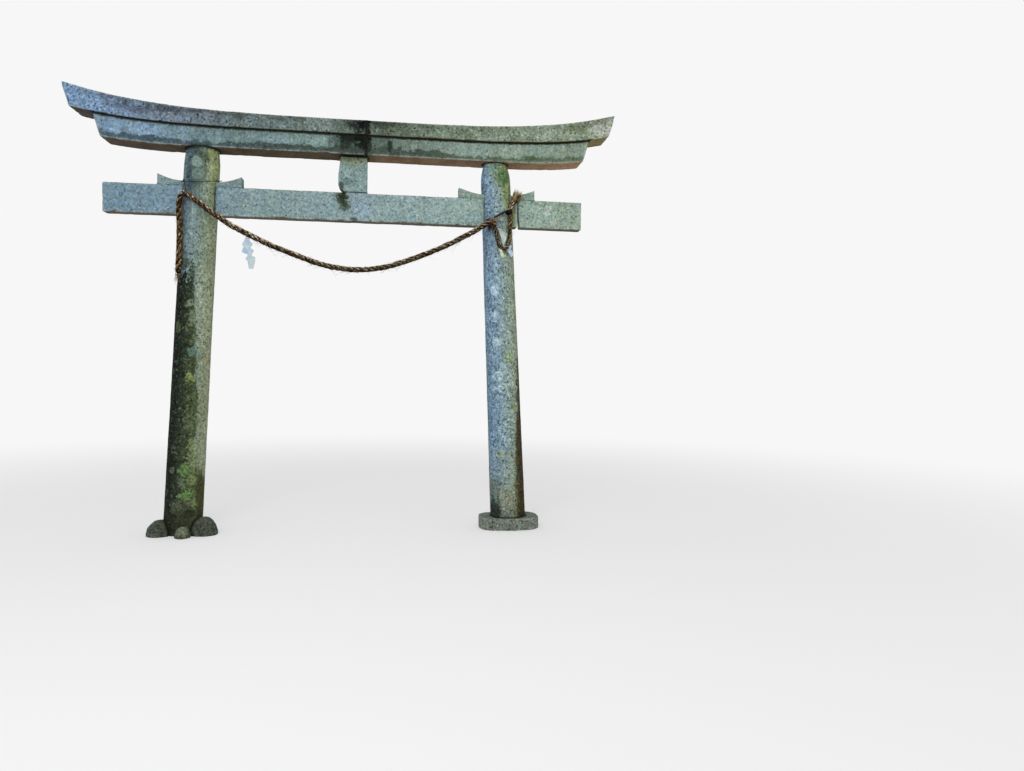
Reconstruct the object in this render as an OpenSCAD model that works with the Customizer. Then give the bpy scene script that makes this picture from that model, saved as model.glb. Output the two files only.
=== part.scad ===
// Granite torii gate with an old straw rope hung between its pillars.
// X runs along the gate to the right, Z is up, and the front faces -Y.
// The origin is on the ground, midway between the pillars.

/* [Layout] */
// Distance between the pillars' centres at the ground
pillar_spacing = 3030; // [2800:10:3200]
// Inward lean of each pillar in degrees
pillar_lean = 2.75; // [2:0.05:3.2]
// Height of the under lintel's underside, where it sits on the pillars
lintel_z = 3510; // [3450:10:3650]
// Height of the tie beam's underside
tie_z = 2907; // [2850:1:2950]

/* [Pillars] */
// Diameter of the left pillar at the ground
left_foot_d = 344; // [320:2:370]
// Diameter of the left pillar below its shoulder
left_top_d = 314; // [290:2:330]
// How far the left pillar's shoulder draws in at the very top
left_shoulder = 14; // [4:1:30]
// Diameter of the right pillar at the ground
right_foot_d = 348; // [320:2:370]
// Diameter of the right pillar below its shoulder
right_top_d = 286; // [270:2:320]
// How far the right pillar's shoulder draws in at the very top
right_shoulder = 27; // [4:1:34]
// Height of the rounded shoulders
shoulder_h = 160; // [80:5:180]
// Space between a mortise's cheeks and the tie beam
mortise_gap = 2; // [1:0.5:5]

/* [Tie beam] */
// Length of the tie beam over its end stones
tie_l = 4390; // [4100:10:4600]
// Height of the tie beam
tie_h = 268; // [240:2:290]
// Thickness of the tie beam, front to back
tie_t = 124; // [90:2:140]
// How far outside the right pillar's centre the end stone is jointed
right_joint_out = 196; // [185:1:215]
// How far the right end stone's joint gapes at its lower edge
joint_gape = 20; // [0:1:30]
// Length of the tenons that hold the end stones
tenon_l = 110; // [60:5:160]
// Thickness of the tenons
tenon_t = 44; // [30:2:60]
// Height of the tenons
tenon_h = 120; // [80:5:160]
// Clearance round a tenon
tenon_gap = 1; // [0.5:0.5:4]

/* [Wedges] */
// Distance from the pillar's centre to a wedge's tall end
wedge_reach = 368; // [300:2:420]
// Height of a wedge's tall end
wedge_tall = 99; // [70:1:120]
// Height of a wedge where it enters the mortise
wedge_thin = 42; // [30:1:55]
// Thickness of a wedge, front to back
wedge_t = 114; // [80:2:120]
// Space between two wedges' tips inside the pillar
wedge_tip_gap = 30; // [10:2:60]
// Curve of a wedge's top, where 1 is straight
wedge_curve = 1.65; // [1:0.05:2.5]

/* [Centre strut] */
// Width of the centre strut
strut_w = 268; // [220:2:320]
// Depth of the centre strut, front to back
strut_t = 118; // [80:2:124]
// How much narrower the strut is at its top left
strut_taper = 22; // [0:1:40]
// Width of the broken lower left corner
chip_w = 86; // [20:2:110]
// Height of the broken lower left corner
chip_h = 80; // [20:2:110]

/* [Under lintel] */
// Half the length of the under lintel along its underside
under_half_l = 2190; // [2050:10:2300]
// Height of the under lintel at the centre
under_h = 180; // [150:2:220]
// Thickness of the under lintel, front to back
under_t = 268; // [240:2:320]
// How far the underside sweeps up at its ends
under_rise = 43; // [0:1:70]
// Curve of the underside's sweep
under_curve = 2.2; // [1.5:0.1:4]

/* [Top lintel] */
// Half the length of the top lintel along its underside
top_half_l = 2440; // [2350:10:2550]
// Height of the top lintel's front face at the centre
top_h = 136; // [110:2:170]
// Thickness of the top lintel, front to back
top_t = 306; // [280:2:360]
// Height of the low ridge along its top
ridge_h = 26; // [10:1:50]
// How far the underside sweeps up at its ends
seat_rise = 110; // [60:1:150]
// Curve of the underside's sweep
seat_curve = 5; // [3:0.1:6]
// How far the top edge sweeps up at its ends
crown_rise = 172; // [120:1:220]
// Curve of the top edge's sweep
crown_curve = 3.8; // [3:0.1:5]
// Outward slant of the lintels' end faces in degrees
end_slant = 17; // [5:1:25]
// Distance of the joint between the lintels' halves from the centre
lintel_joint_x = 125; // [60:1:130]

/* [Feet] */
// Length of the right base stone, along the gate
base_l = 590; // [500:5:700]
// Width of the right base stone, front to back
base_w = 450; // [420:5:560]
// Height of the right base stone
base_h = 115; // [80:5:160]
// Gap between a pillar's foot and the stones cut round it
foot_gap = 0.3; // [0.2:0.1:1]

/* [Rope] */
// Diameter of the rope between the pillars
rope_d = 48; // [30:1:56]
// Diameter of the rope's tail on the left
tail_d = 42; // [24:1:48]
// Diameter of the rope's loop on the right
loop_d = 32; // [18:1:36]
// Diameter of the twisted cord that ties up the loop
tie_cord_d = 16; // [8:1:20]
// Diameter of the lump that the rope ends in on the right
lump_d = 92; // [70:1:100]
// Diameter of the straw knot on the right wedge
knot_d = 64; // [40:1:70]
// Diameter of the wire round the left pillar
wire_d = 6; // [3:0.5:8]
// How far the wire ring tips down at its front in degrees
wire_tip = 14; // [0:1:18]
// Slack between the wire ring and the pillar, where its eye passes
wire_slack = 8; // [8:1:14]
// Thickness of the folded paper
paper_t = 3; // [2:0.5:5]

/* [Hidden] */

round_fn = 96;
big = 6000;
seat_gap = 0.3;
foot_x = pillar_spacing / 2;
tie_top = tie_z + tie_h;
mortise_top = tie_top + wedge_thin;
seat_z = lintel_z + under_h;
stations = 26;
station_l = (top_half_l + 160) / stations;

// Distance of a pillar's axis from the gate's centre at height z
function axis_x(z) = foot_x - tan(pillar_lean) * z;

// Radius of a pillar at height z, below its shoulder
function shaft_r(foot_d, top_d, z) = (foot_d + (top_d - foot_d) * z / lintel_z) / 2;

// Upward sweep towards the ends, measured at x
function sweep(x, rise, reach, curve, start) =
    rise * pow(max(0, abs(x) - start) / (reach - start), curve);

function underside(x) = lintel_z
    + sweep(x, under_rise, under_half_l, under_curve, foot_x);
function seat(x) = seat_z + sweep(x, seat_rise, top_half_l, seat_curve, 0);
function crown(x) = seat_z + top_h + sweep(x, crown_rise, top_half_l, crown_curve, 0);

// Pillar: a tapered round shaft with a rounded shoulder, leaned and cut level

module shaft(side, foot_d, top_d, shoulder, grow) {
    steps = 6;
    below = 60;
    shoulder_z = lintel_z - shoulder_h;
    profile = concat(
        [[0, -below], [shaft_r(foot_d, top_d, -below) + grow, -below]],
        [for (i = [0 : steps]) let (t = i / steps)
            [shaft_r(foot_d, top_d, shoulder_z + t * shoulder_h) + grow
                - shoulder * (1 - cos(90 * t)), shoulder_z + t * shoulder_h]],
        [[shaft_r(foot_d, top_d, lintel_z) + grow - shoulder, lintel_z + below],
            [0, lintel_z + below]]);
    intersection() {
        translate([side * foot_x, 0, 0])
            rotate([0, -side * pillar_lean, 0])
                rotate_extrude($fn = round_fn) polygon(profile);
        translate([-big / 2, -big / 2, 0]) cube([big, big, lintel_z]);
    }
}

module left_shaft(grow = 0) shaft(-1, left_foot_d, left_top_d, left_shoulder, grow);
module right_shaft(grow = 0) shaft(1, right_foot_d, right_top_d, right_shoulder, grow);

// Slot through a pillar for the tie beam and the wedges over it
module mortise(side) {
    slot_w = tie_t + 2 * mortise_gap;
    translate([side * axis_x(tie_z) - foot_x / 2, -slot_w / 2, tie_z])
        cube([foot_x, slot_w, mortise_top - tie_z]);
}

module left_pillar() {
    color("#7d8b8a") difference() {
        left_shaft();
        mortise(-1);
    }
}

module right_pillar() {
    color("#84918c") difference() {
        right_shaft();
        mortise(1);
    }
}

// Tie beam: three stones held together by tenons

left_joint_x = -axis_x(tie_z + tie_h / 2);
right_joint_x = axis_x(tie_z + tie_h / 2) + right_joint_out;

module tenon(x, dir, grow) {
    size_x = tenon_l + grow;
    translate([dir > 0 ? x : x - size_x, -tenon_t / 2 - grow, tie_z + (tie_h - tenon_h) / 2 - grow])
        cube([size_x, tenon_t + 2 * grow, tenon_h + 2 * grow]);
}

module tie_beam_centre() {
    color("#93a5a5") union() {
        translate([left_joint_x, -tie_t / 2, tie_z])
            cube([right_joint_x - left_joint_x, tie_t, tie_h]);
        tenon(left_joint_x, -1, 0);
        tenon(right_joint_x, 1, 0);
    }
}

module tie_beam_left_end() {
    color("#8fa2a8") difference() {
        translate([-tie_l / 2, -tie_t / 2, tie_z])
            cube([tie_l / 2 + left_joint_x, tie_t, tie_h]);
        tenon(left_joint_x, -1, tenon_gap);
    }
}

module tie_beam_right_end() {
    color("#8b9d92") difference() {
        translate([0, tie_t / 2, 0]) rotate([90, 0, 0])
            linear_extrude(tie_t)
                polygon([[right_joint_x + joint_gape, tie_z], [tie_l / 2, tie_z],
                    [tie_l / 2, tie_top], [right_joint_x, tie_top]]);
        tenon(right_joint_x, 1, tenon_gap);
    }
}

// Wedge: flat inside the mortise, then a hollow curve up to its tall end

module wedge(side, dir, top_r) {
    steps = 8;
    flat = top_r + 4;
    tip = wedge_tip_gap / 2;
    outline = concat(
        [[wedge_reach, 0], [tip, 0], [tip, wedge_thin]],
        [for (i = [0 : steps]) let (t = i / steps)
            [flat + t * (wedge_reach - flat),
                wedge_thin + (wedge_tall - wedge_thin) * pow(t, wedge_curve)]]);
    color("#8d9f9d")
        translate([side * axis_x(tie_top), 0, tie_top])
            mirror([side * dir < 0 ? 1 : 0, 0, 0])
                translate([0, wedge_t / 2, 0]) rotate([90, 0, 0])
                    linear_extrude(wedge_t) polygon(outline);
}

left_mortise_r = shaft_r(left_foot_d, left_top_d, tie_top);
right_mortise_r = shaft_r(right_foot_d, right_top_d, tie_top);

module left_outer_wedge() wedge(-1, 1, left_mortise_r);
module left_inner_wedge() wedge(-1, -1, left_mortise_r);
module right_inner_wedge() wedge(1, -1, right_mortise_r);
module right_outer_wedge() wedge(1, 1, right_mortise_r);

// Centre strut: stands on the tie beam, with its lower left corner broken away

module centre_strut() {
    steps = 8;
    strut_h = lintel_z - tie_top;
    half = strut_w / 2;
    chip = [for (i = [0 : steps]) let (a = 90 * i / steps)
        [-half + chip_w - chip_w * cos(a), chip_h - chip_h * sin(a)]];
    color("#93a49f")
        translate([0, strut_t / 2, tie_top]) rotate([90, 0, 0])
            linear_extrude(strut_t)
                polygon(concat([[half, 0], [half, strut_h], [-half + strut_taper, strut_h],
                    [-half, strut_h * 0.45]], chip));
}

// Lintels: two courses, each of two stones that meet near the centre

// Side view of the space that one half of a lintel fills, with its slanted end
module half_window(side, corner_x, corner_z) {
    low = lintel_z - 100;
    high = seat_z + 600;
    slant = tan(end_slant);
    start = side * lintel_joint_x;
    mirror([side < 0 ? 1 : 0, 0])
        polygon([[start, low], [corner_x + slant * (low - corner_z), low],
            [corner_x + slant * (high - corner_z), high], [start, high]]);
}

module under_lintel(side) {
    outline = concat(
        [for (i = [-stations : stations]) [i * station_l, seat(i * station_l)]],
        [for (i = [stations : -1 : -stations]) [i * station_l, underside(i * station_l)]]);
    translate([0, under_t / 2, 0]) rotate([90, 0, 0])
        linear_extrude(under_t) intersection() {
            polygon(outline);
            half_window(side, under_half_l, underside(under_half_l));
        }
}

module under_lintel_left() color("#86969a") under_lintel(-1);
module under_lintel_right() color("#869489") under_lintel(1);

// Top lintel: a loft of five-sided sections with a low ridge

function top_section(x) = [
    [x, -top_t / 2, seat(x)], [x, -top_t / 2, crown(x)], [x, 0, crown(x) + ridge_h],
    [x, top_t / 2, crown(x)], [x, top_t / 2, seat(x)]];

module top_loft() {
    n = 5;
    last = 2 * stations;
    points = [for (i = [-stations : stations]) each top_section(i * station_l)];
    sides = [for (i = [0 : last - 1], j = [0 : n - 1])
        let (k = (j + 1) % n) [i * n + j, i * n + k, (i + 1) * n + k, (i + 1) * n + j]];
    polyhedron(points, concat([[for (j = [n - 1 : -1 : 0]) j]], sides,
        [[for (j = [0 : n - 1]) last * n + j]]));
}

module top_lintel(side) {
    intersection() {
        top_loft();
        translate([0, top_t, 0]) rotate([90, 0, 0])
            linear_extrude(2 * top_t) half_window(side, top_half_l, seat(top_half_l));
    }
}

module top_lintel_left() color("#7f8c93") top_lintel(-1);
module top_lintel_right() color("#84928a") top_lintel(1);

// Feet: natural stones packed round the left pillar, a worn slab under the right

// A boulder with a few soft lumps, standing on the ground, sized by its half widths and height
module boulder(centre, half, lump, turn) {
    rings = 9;
    sides = 16;
    function bump(a, b) = 1 + lump * (sin(2 * a + turn) * cos(b) + 0.5 * cos(3 * a + 2 * turn));
    points = concat(
        [for (i = [1 : rings - 1], j = [0 : sides - 1])
            let (b = 180 * i / rings - 90, a = 360 * j / sides, k = bump(a, b))
            [half[0] * cos(b) * cos(a) * k, half[1] * cos(b) * sin(a) * k, half[2] * sin(b)]],
        [[0, 0, -half[2]], [0, 0, half[2]]]);
    low = (rings - 1) * sides;
    walls = [for (i = [0 : rings - 3], j = [0 : sides - 1])
        let (k = (j + 1) % sides)
        [i * sides + j, (i + 1) * sides + j, (i + 1) * sides + k, i * sides + k]];
    caps = [for (j = [0 : sides - 1]) let (k = (j + 1) % sides) each [
        [low, j, k], [low + 1, (rings - 2) * sides + k, (rings - 2) * sides + j]]];
    intersection() {
        translate(centre) polyhedron(points, concat(walls, caps));
        translate([-big / 2, -big / 2, 0]) cube([big, big, big]);
    }
}

// Each stone's place from the pillar's foot, then its half widths and height
outer_stone = [[-172, -95], [112, 125, 148]];
inner_stone = [[208, -90], [122, 120, 155]];
front_stone = [[58, -222], [66, 78, 104]];
back_stone = [[20, 197.7], [135, 98, 128]];

module left_foot_stone(stone, lump, turn) {
    color("#6f7a76") difference() {
        boulder([-foot_x + stone[0][0], stone[0][1], 0], stone[1], lump, turn);
        left_shaft(foot_gap);
    }
}

module left_foot_stone_outer() left_foot_stone(outer_stone, 0.06, 20);
module left_foot_stone_inner() left_foot_stone(inner_stone, 0.05, 75);
module left_foot_stone_front() left_foot_stone(front_stone, 0.07, 140);
module left_foot_stone_back() left_foot_stone(back_stone, 0.06, 200);

module right_base_stone() {
    sides = 48;
    squareness = 2 / 2.8;
    function axis_part(c) = sign(c) * pow(abs(c), squareness);
    color("#8a938c") difference() {
        translate([foot_x, 0, 0]) linear_extrude(base_h)
            polygon([for (i = [0 : sides - 1]) let (a = 360 * i / sides)
                [base_l / 2 * axis_part(cos(a)), base_w / 2 * axis_part(sin(a))]]);
        right_shaft(foot_gap);
    }
}

// Rope: tubes swept along routes chosen by hand, and what ties them up

rope_route = [[-1478, -184, 3076], [-1412, -190, 3052], [-1328, -190, 2990], [-1243, -190, 2925],
    [-1156, -190, 2866], [-1053, -190, 2798], [-905, -190, 2724], [-766, -190, 2658],
    [-625, -190, 2602], [-458, -190, 2541], [-325, -190, 2495], [-180, -190, 2459],
    [-11, -190, 2440], [98, -190, 2441], [216, -190, 2454], [325, -190, 2476],
    [444, -190, 2512], [600, -190, 2572], [758, -190, 2638], [900, -190, 2706],
    [1009, -190, 2764], [1116, -192, 2822], [1216, -194, 2886], [1300, -196, 2934]];
tail_route = [[-1490, -160, 3068], [-1516, -140, 3010], [-1522, -128, 2930], [-1520, -122, 2850],
    [-1518, -124, 2760], [-1516, -131, 2670], [-1517, -136, 2580], [-1520, -138, 2500],
    [-1524, -138, 2420], [-1528, -138, 2350]];
loop_route = [[1322, -196, 2916], [1336, -196, 2866], [1346, -196, 2810], [1356, -194, 2756],
    [1376, -190, 2706], [1412, -184, 2682], [1450, -176, 2704], [1468, -166, 2752],
    [1476, -154, 2820], [1480, -142, 2900], [1486, -132, 2980], [1494, -124, 3050],
    [1508, -114, 3112], [1524, -100, 3158]];
tie_cord_route = [[1318, -190, 2966], [1354, -186, 2990], [1396, -176, 3014], [1438, -160, 3040],
    [1484, -132, 3062]];

function unit(v) = v / norm(v);
function route_dir(route, i) = unit(route[min(i + 1, len(route) - 1)] - route[max(i - 1, 0)]);
function across(d) = unit(cross([0, 1, 0], d));

// Points of a tube's rings: side stays in the gate's plane and up crosses it
module tube(route, d, sides) {
    rings = len(route);
    points = [for (i = [0 : rings - 1]) let (dir = route_dir(route, i), side = across(dir),
            up = cross(dir, side))
        for (j = [0 : sides - 1]) let (a = 360 * j / sides)
            route[i] + d / 2 * (cos(a) * side + sin(a) * up)];
    walls = [for (i = [0 : rings - 2], j = [0 : sides - 1]) let (k = (j + 1) % sides)
        [i * sides + j, (i + 1) * sides + j, (i + 1) * sides + k, i * sides + k]];
    polyhedron(points, concat([[for (j = [0 : sides - 1]) j]], walls,
        [[for (j = [sides - 1 : -1 : 0]) (rings - 1) * sides + j]]));
}

module straw_rope() color("#6b5843") tube(rope_route, rope_d, 10);
module rope_tail() color("#6f5b3c") tube(tail_route, tail_d, 10);
module rope_loop() color("#6a5741") tube(loop_route, loop_d, 10);
module tie_cord() color("#4b4238") tube(tie_cord_route, tie_cord_d, 8);

// Stands a shape, drawn along Z from the origin, on p so that it points along dir
module pointed(p, dir) {
    translate(p)
        rotate([0, acos(dir[2] / norm(dir)), atan2(dir[1], dir[0])])
            children();
}

module hoop(hoop_r, bar_r) {
    rotate_extrude($fn = 48) translate([hoop_r, 0]) circle(r = bar_r, $fn = 24);
}

wire_r = wire_d / 2;
wire_z = mortise_top + seat_gap + wire_r / cos(wire_tip) + wedge_t / 2 * tan(wire_tip);
wire_x = -axis_x(wire_z);
wire_hoop_r = shaft_r(left_foot_d, left_top_d, wire_z) / cos(wire_tip) + wire_r + wire_slack;

// Wire ring: lies on the two left wedges and tips down at the front
module tie_wire() {
    color("#2f2a26")
        translate([wire_x, 0, wire_z])
            rotate([wire_tip, 0, 0])
                hoop(wire_hoop_r, wire_r);
}

// Hanger: an eye on the wire, a straight drop and a band round the rope's head
hang_turn = 225;
hang_top = [wire_x + wire_hoop_r * cos(hang_turn),
    wire_hoop_r * sin(hang_turn) * cos(wire_tip),
    wire_z + wire_hoop_r * sin(hang_turn) * sin(wire_tip)];
hang_tangent = [-sin(hang_turn), cos(hang_turn) * cos(wire_tip), cos(hang_turn) * sin(wire_tip)];
band_at = rope_route[0] + 0.3 * (rope_route[1] - rope_route[0]);
band_dir = rope_route[1] - rope_route[0];
hanger_r = 3.5;

module rope_hanger() {
    eye_r = wire_r + seat_gap + hanger_r;
    band_r = rope_d / 2 + seat_gap + hanger_r;
    low = band_at + band_r * across(unit(band_dir)) * (across(unit(band_dir))[2] < 0 ? -1 : 1);
    high = hang_top - [0, 0, eye_r];
    color("#332d28") union() {
        pointed(hang_top, hang_tangent) hoop(eye_r, hanger_r);
        pointed(low, high - low) cylinder(h = norm(high - low), r = hanger_r, $fn = 24);
        pointed(band_at, band_dir) hoop(band_r, hanger_r);
    }
}

// Lump at the rope's right end, resting on the right pillar's front
lump_z = 2944;
lump_x = 1308;
lump_reach = shaft_r(right_foot_d, right_top_d, lump_z) + lump_d / 2 + 1;
lump_y = -sqrt(pow(lump_reach, 2) - pow(axis_x(lump_z) - lump_x, 2));

module rope_lump() {
    color("#5d4a34") translate([lump_x, lump_y, lump_z]) sphere(d = lump_d, $fn = 48);
}

// Straw knot: a short bundle against the front of the tie beam and its wedge
module straw_knot() {
    knot_l = 86;
    color("#8a7a4c")
        translate([1530, -tie_t / 2 - seat_gap - knot_d / 2, tie_top - 26])
            rotate([0, 14, 0]) union() {
                cylinder(h = knot_l, d = knot_d, center = true, $fn = 48);
                translate([0, 0, knot_l / 2]) sphere(d = knot_d, $fn = 48);
                translate([0, 0, -knot_l / 2]) sphere(d = knot_d, $fn = 48);
            }
}

// Folded paper

module sheet(y) translate([0, y + paper_t / 2, 0]) rotate([90, 0, 0])
    linear_extrude(paper_t) children();

// Streamer: a strip folded to a zigzag, which hangs from inside the rope
streamer_right = [[-905, 2722], [-905, 2669], [-875, 2642], [-896, 2605], [-862, 2578],
    [-881, 2537], [-849, 2510], [-853, 2473], [-863, 2428], [-875, 2411]];
streamer_left = [[-914, 2411], [-918, 2464], [-940, 2501], [-927, 2533], [-953, 2560],
    [-968, 2587], [-953, 2614], [-966, 2635], [-944, 2669], [-940, 2730]];

module paper_streamer() {
    color("#dfe6ee") sheet(-190) polygon(concat(streamer_right, streamer_left));
}

module loop_paper() {
    color("#cfd8da") sheet(-185)
        polygon([[1348, 2866], [1440, 2826], [1438, 2790], [1420, 2712], [1402, 2718],
            [1384, 2800], [1380, 2838], [1346, 2856]]);
}

module scrap_left() {
    color("#cdd3b4") sheet(-192)
        polygon([[1392, 2676], [1406, 2678], [1426, 2600], [1400, 2584], [1384, 2640]]);
}

module scrap_right() {
    color("#cfdbe4") sheet(-172)
        polygon([[1452, 2704], [1474, 2712], [1508, 2640], [1478, 2600], [1440, 2660]]);
}

left_pillar();
right_pillar();
tie_beam_centre();
tie_beam_left_end();
tie_beam_right_end();
left_outer_wedge();
left_inner_wedge();
right_inner_wedge();
right_outer_wedge();
centre_strut();
under_lintel_left();
under_lintel_right();
top_lintel_left();
top_lintel_right();
left_foot_stone_outer();
left_foot_stone_inner();
left_foot_stone_front();
left_foot_stone_back();
right_base_stone();
tie_wire();
rope_hanger();
straw_rope();
rope_tail();
rope_loop();
rope_lump();
tie_cord();
straw_knot();
paper_streamer();
loop_paper();
scrap_left();
scrap_right();
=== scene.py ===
import math

import bmesh
import bpy
import numpy as np
from mathutils import Matrix, Vector
from mathutils.bvhtree import BVHTree


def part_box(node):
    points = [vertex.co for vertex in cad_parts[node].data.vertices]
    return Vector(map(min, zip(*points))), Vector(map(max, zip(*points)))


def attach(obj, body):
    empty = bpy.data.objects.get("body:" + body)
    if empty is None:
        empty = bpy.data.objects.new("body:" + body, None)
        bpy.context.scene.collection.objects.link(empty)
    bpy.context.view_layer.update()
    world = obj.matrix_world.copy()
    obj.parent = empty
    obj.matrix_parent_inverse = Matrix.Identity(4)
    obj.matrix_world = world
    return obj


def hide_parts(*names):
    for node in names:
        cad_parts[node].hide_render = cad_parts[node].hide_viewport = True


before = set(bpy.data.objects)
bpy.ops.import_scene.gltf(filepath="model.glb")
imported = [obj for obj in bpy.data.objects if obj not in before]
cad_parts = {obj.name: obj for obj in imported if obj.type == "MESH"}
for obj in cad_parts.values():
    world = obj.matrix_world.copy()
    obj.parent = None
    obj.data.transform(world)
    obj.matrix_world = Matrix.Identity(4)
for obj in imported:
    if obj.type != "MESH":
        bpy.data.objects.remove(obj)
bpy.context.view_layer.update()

print("frame loaded,", len(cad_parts), "nodes")

# Where the camera stands and how it looks, in metres and degrees
view = {
    "place": (0.3995, -7.4388, 1.5171),
    "turn": 8.703,  # to the right of straight ahead
    "tip": -1.042,  # above the horizon
    "roll": 0.635,
    "lens": 27.07,  # in millimetres, as is the width of the sensor
    "sensor": 36,
}

studio = {
    "sky": 0.66,  # light from all round
    "white": 0.93,  # what the camera sees behind the gate
    "floorTone": 0.90,
    "floorRoughness": 0.9,
    "floorReach": 60.0,
    "floorFade": (2.8, 12.0, 0.35),  # metres out where it starts and ends to fade, and how faded it starts
    "keyPlace": (-1.4, -7.5, 6.5),
    "keyAim": (0.0, 0.0, 2.2),
    "keySize": 5.0,
    "keyWatts": 260.0,
}


def standCamera():
    turn, tip, roll = (math.radians(view[k]) for k in ("turn", "tip", "roll"))
    ahead = Vector((math.sin(turn) * math.cos(tip), math.cos(turn) * math.cos(tip), math.sin(tip)))
    right = Vector((math.cos(turn), -math.sin(turn), 0))
    up = right.cross(ahead)
    side = right * math.cos(roll) + up * math.sin(roll)
    top = up * math.cos(roll) - right * math.sin(roll)
    data = bpy.data.cameras.new("camera")
    data.lens = view["lens"]
    data.sensor_width = view["sensor"]
    camera = bpy.data.objects.new("camera", data)
    camera.matrix_world = (Matrix.Translation(view["place"])
                           @ Matrix((side, top, -ahead)).transposed().to_4x4())
    bpy.context.collection.objects.link(camera)
    bpy.context.scene.camera = camera


def shade(red, green, blue):
    # a colour as a paint chart gives it, 0 to 255, in the linear values that Blender wants
    def linear(c):
        c = c / 255
        return c / 12.92 if c <= 0.04045 else ((c + 0.055) / 1.055) ** 2.4
    return (linear(red), linear(green), linear(blue), 1.0)


def grey(tone):
    return (tone, tone, tone, 1)


def lightStudio():
    world = bpy.data.worlds.new("studio")
    bpy.context.scene.world = world
    world.use_nodes = True
    nodes, links = world.node_tree.nodes, world.node_tree.links
    light = nodes["Background"]
    light.inputs["Color"].default_value = grey(1)
    light.inputs["Strength"].default_value = studio["sky"]
    seen = nodes.new("ShaderNodeBackground")
    seen.inputs["Color"].default_value = grey(studio["white"])
    rays = nodes.new("ShaderNodeLightPath").outputs
    shown = rays["Is Camera Ray"]
    for other in ("Is Glossy Ray", "Is Transmission Ray"):
        either = nodes.new("ShaderNodeMath")
        either.operation = "MAXIMUM"
        links.new(shown, either.inputs[0])
        links.new(rays[other], either.inputs[1])
        shown = either.outputs[0]
    pick = nodes.new("ShaderNodeMixShader")
    for socket, value in zip(pick.inputs, (shown, light.outputs[0], seen.outputs[0])):
        links.new(value, socket)
    links.new(pick.outputs[0], nodes["World Output"].inputs["Surface"])

    data = bpy.data.lights.new("key", "AREA")
    data.shape = "DISK"
    data.size = studio["keySize"]
    data.energy = studio["keyWatts"]
    key = bpy.data.objects.new("key", data)
    key.location = studio["keyPlace"]
    aim = Vector(studio["keyAim"]) - key.location
    key.rotation_euler = aim.to_track_quat("-Z", "Y").to_euler()
    bpy.context.collection.objects.link(key)
    bpy.context.scene.view_settings.view_transform = "Standard"


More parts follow.
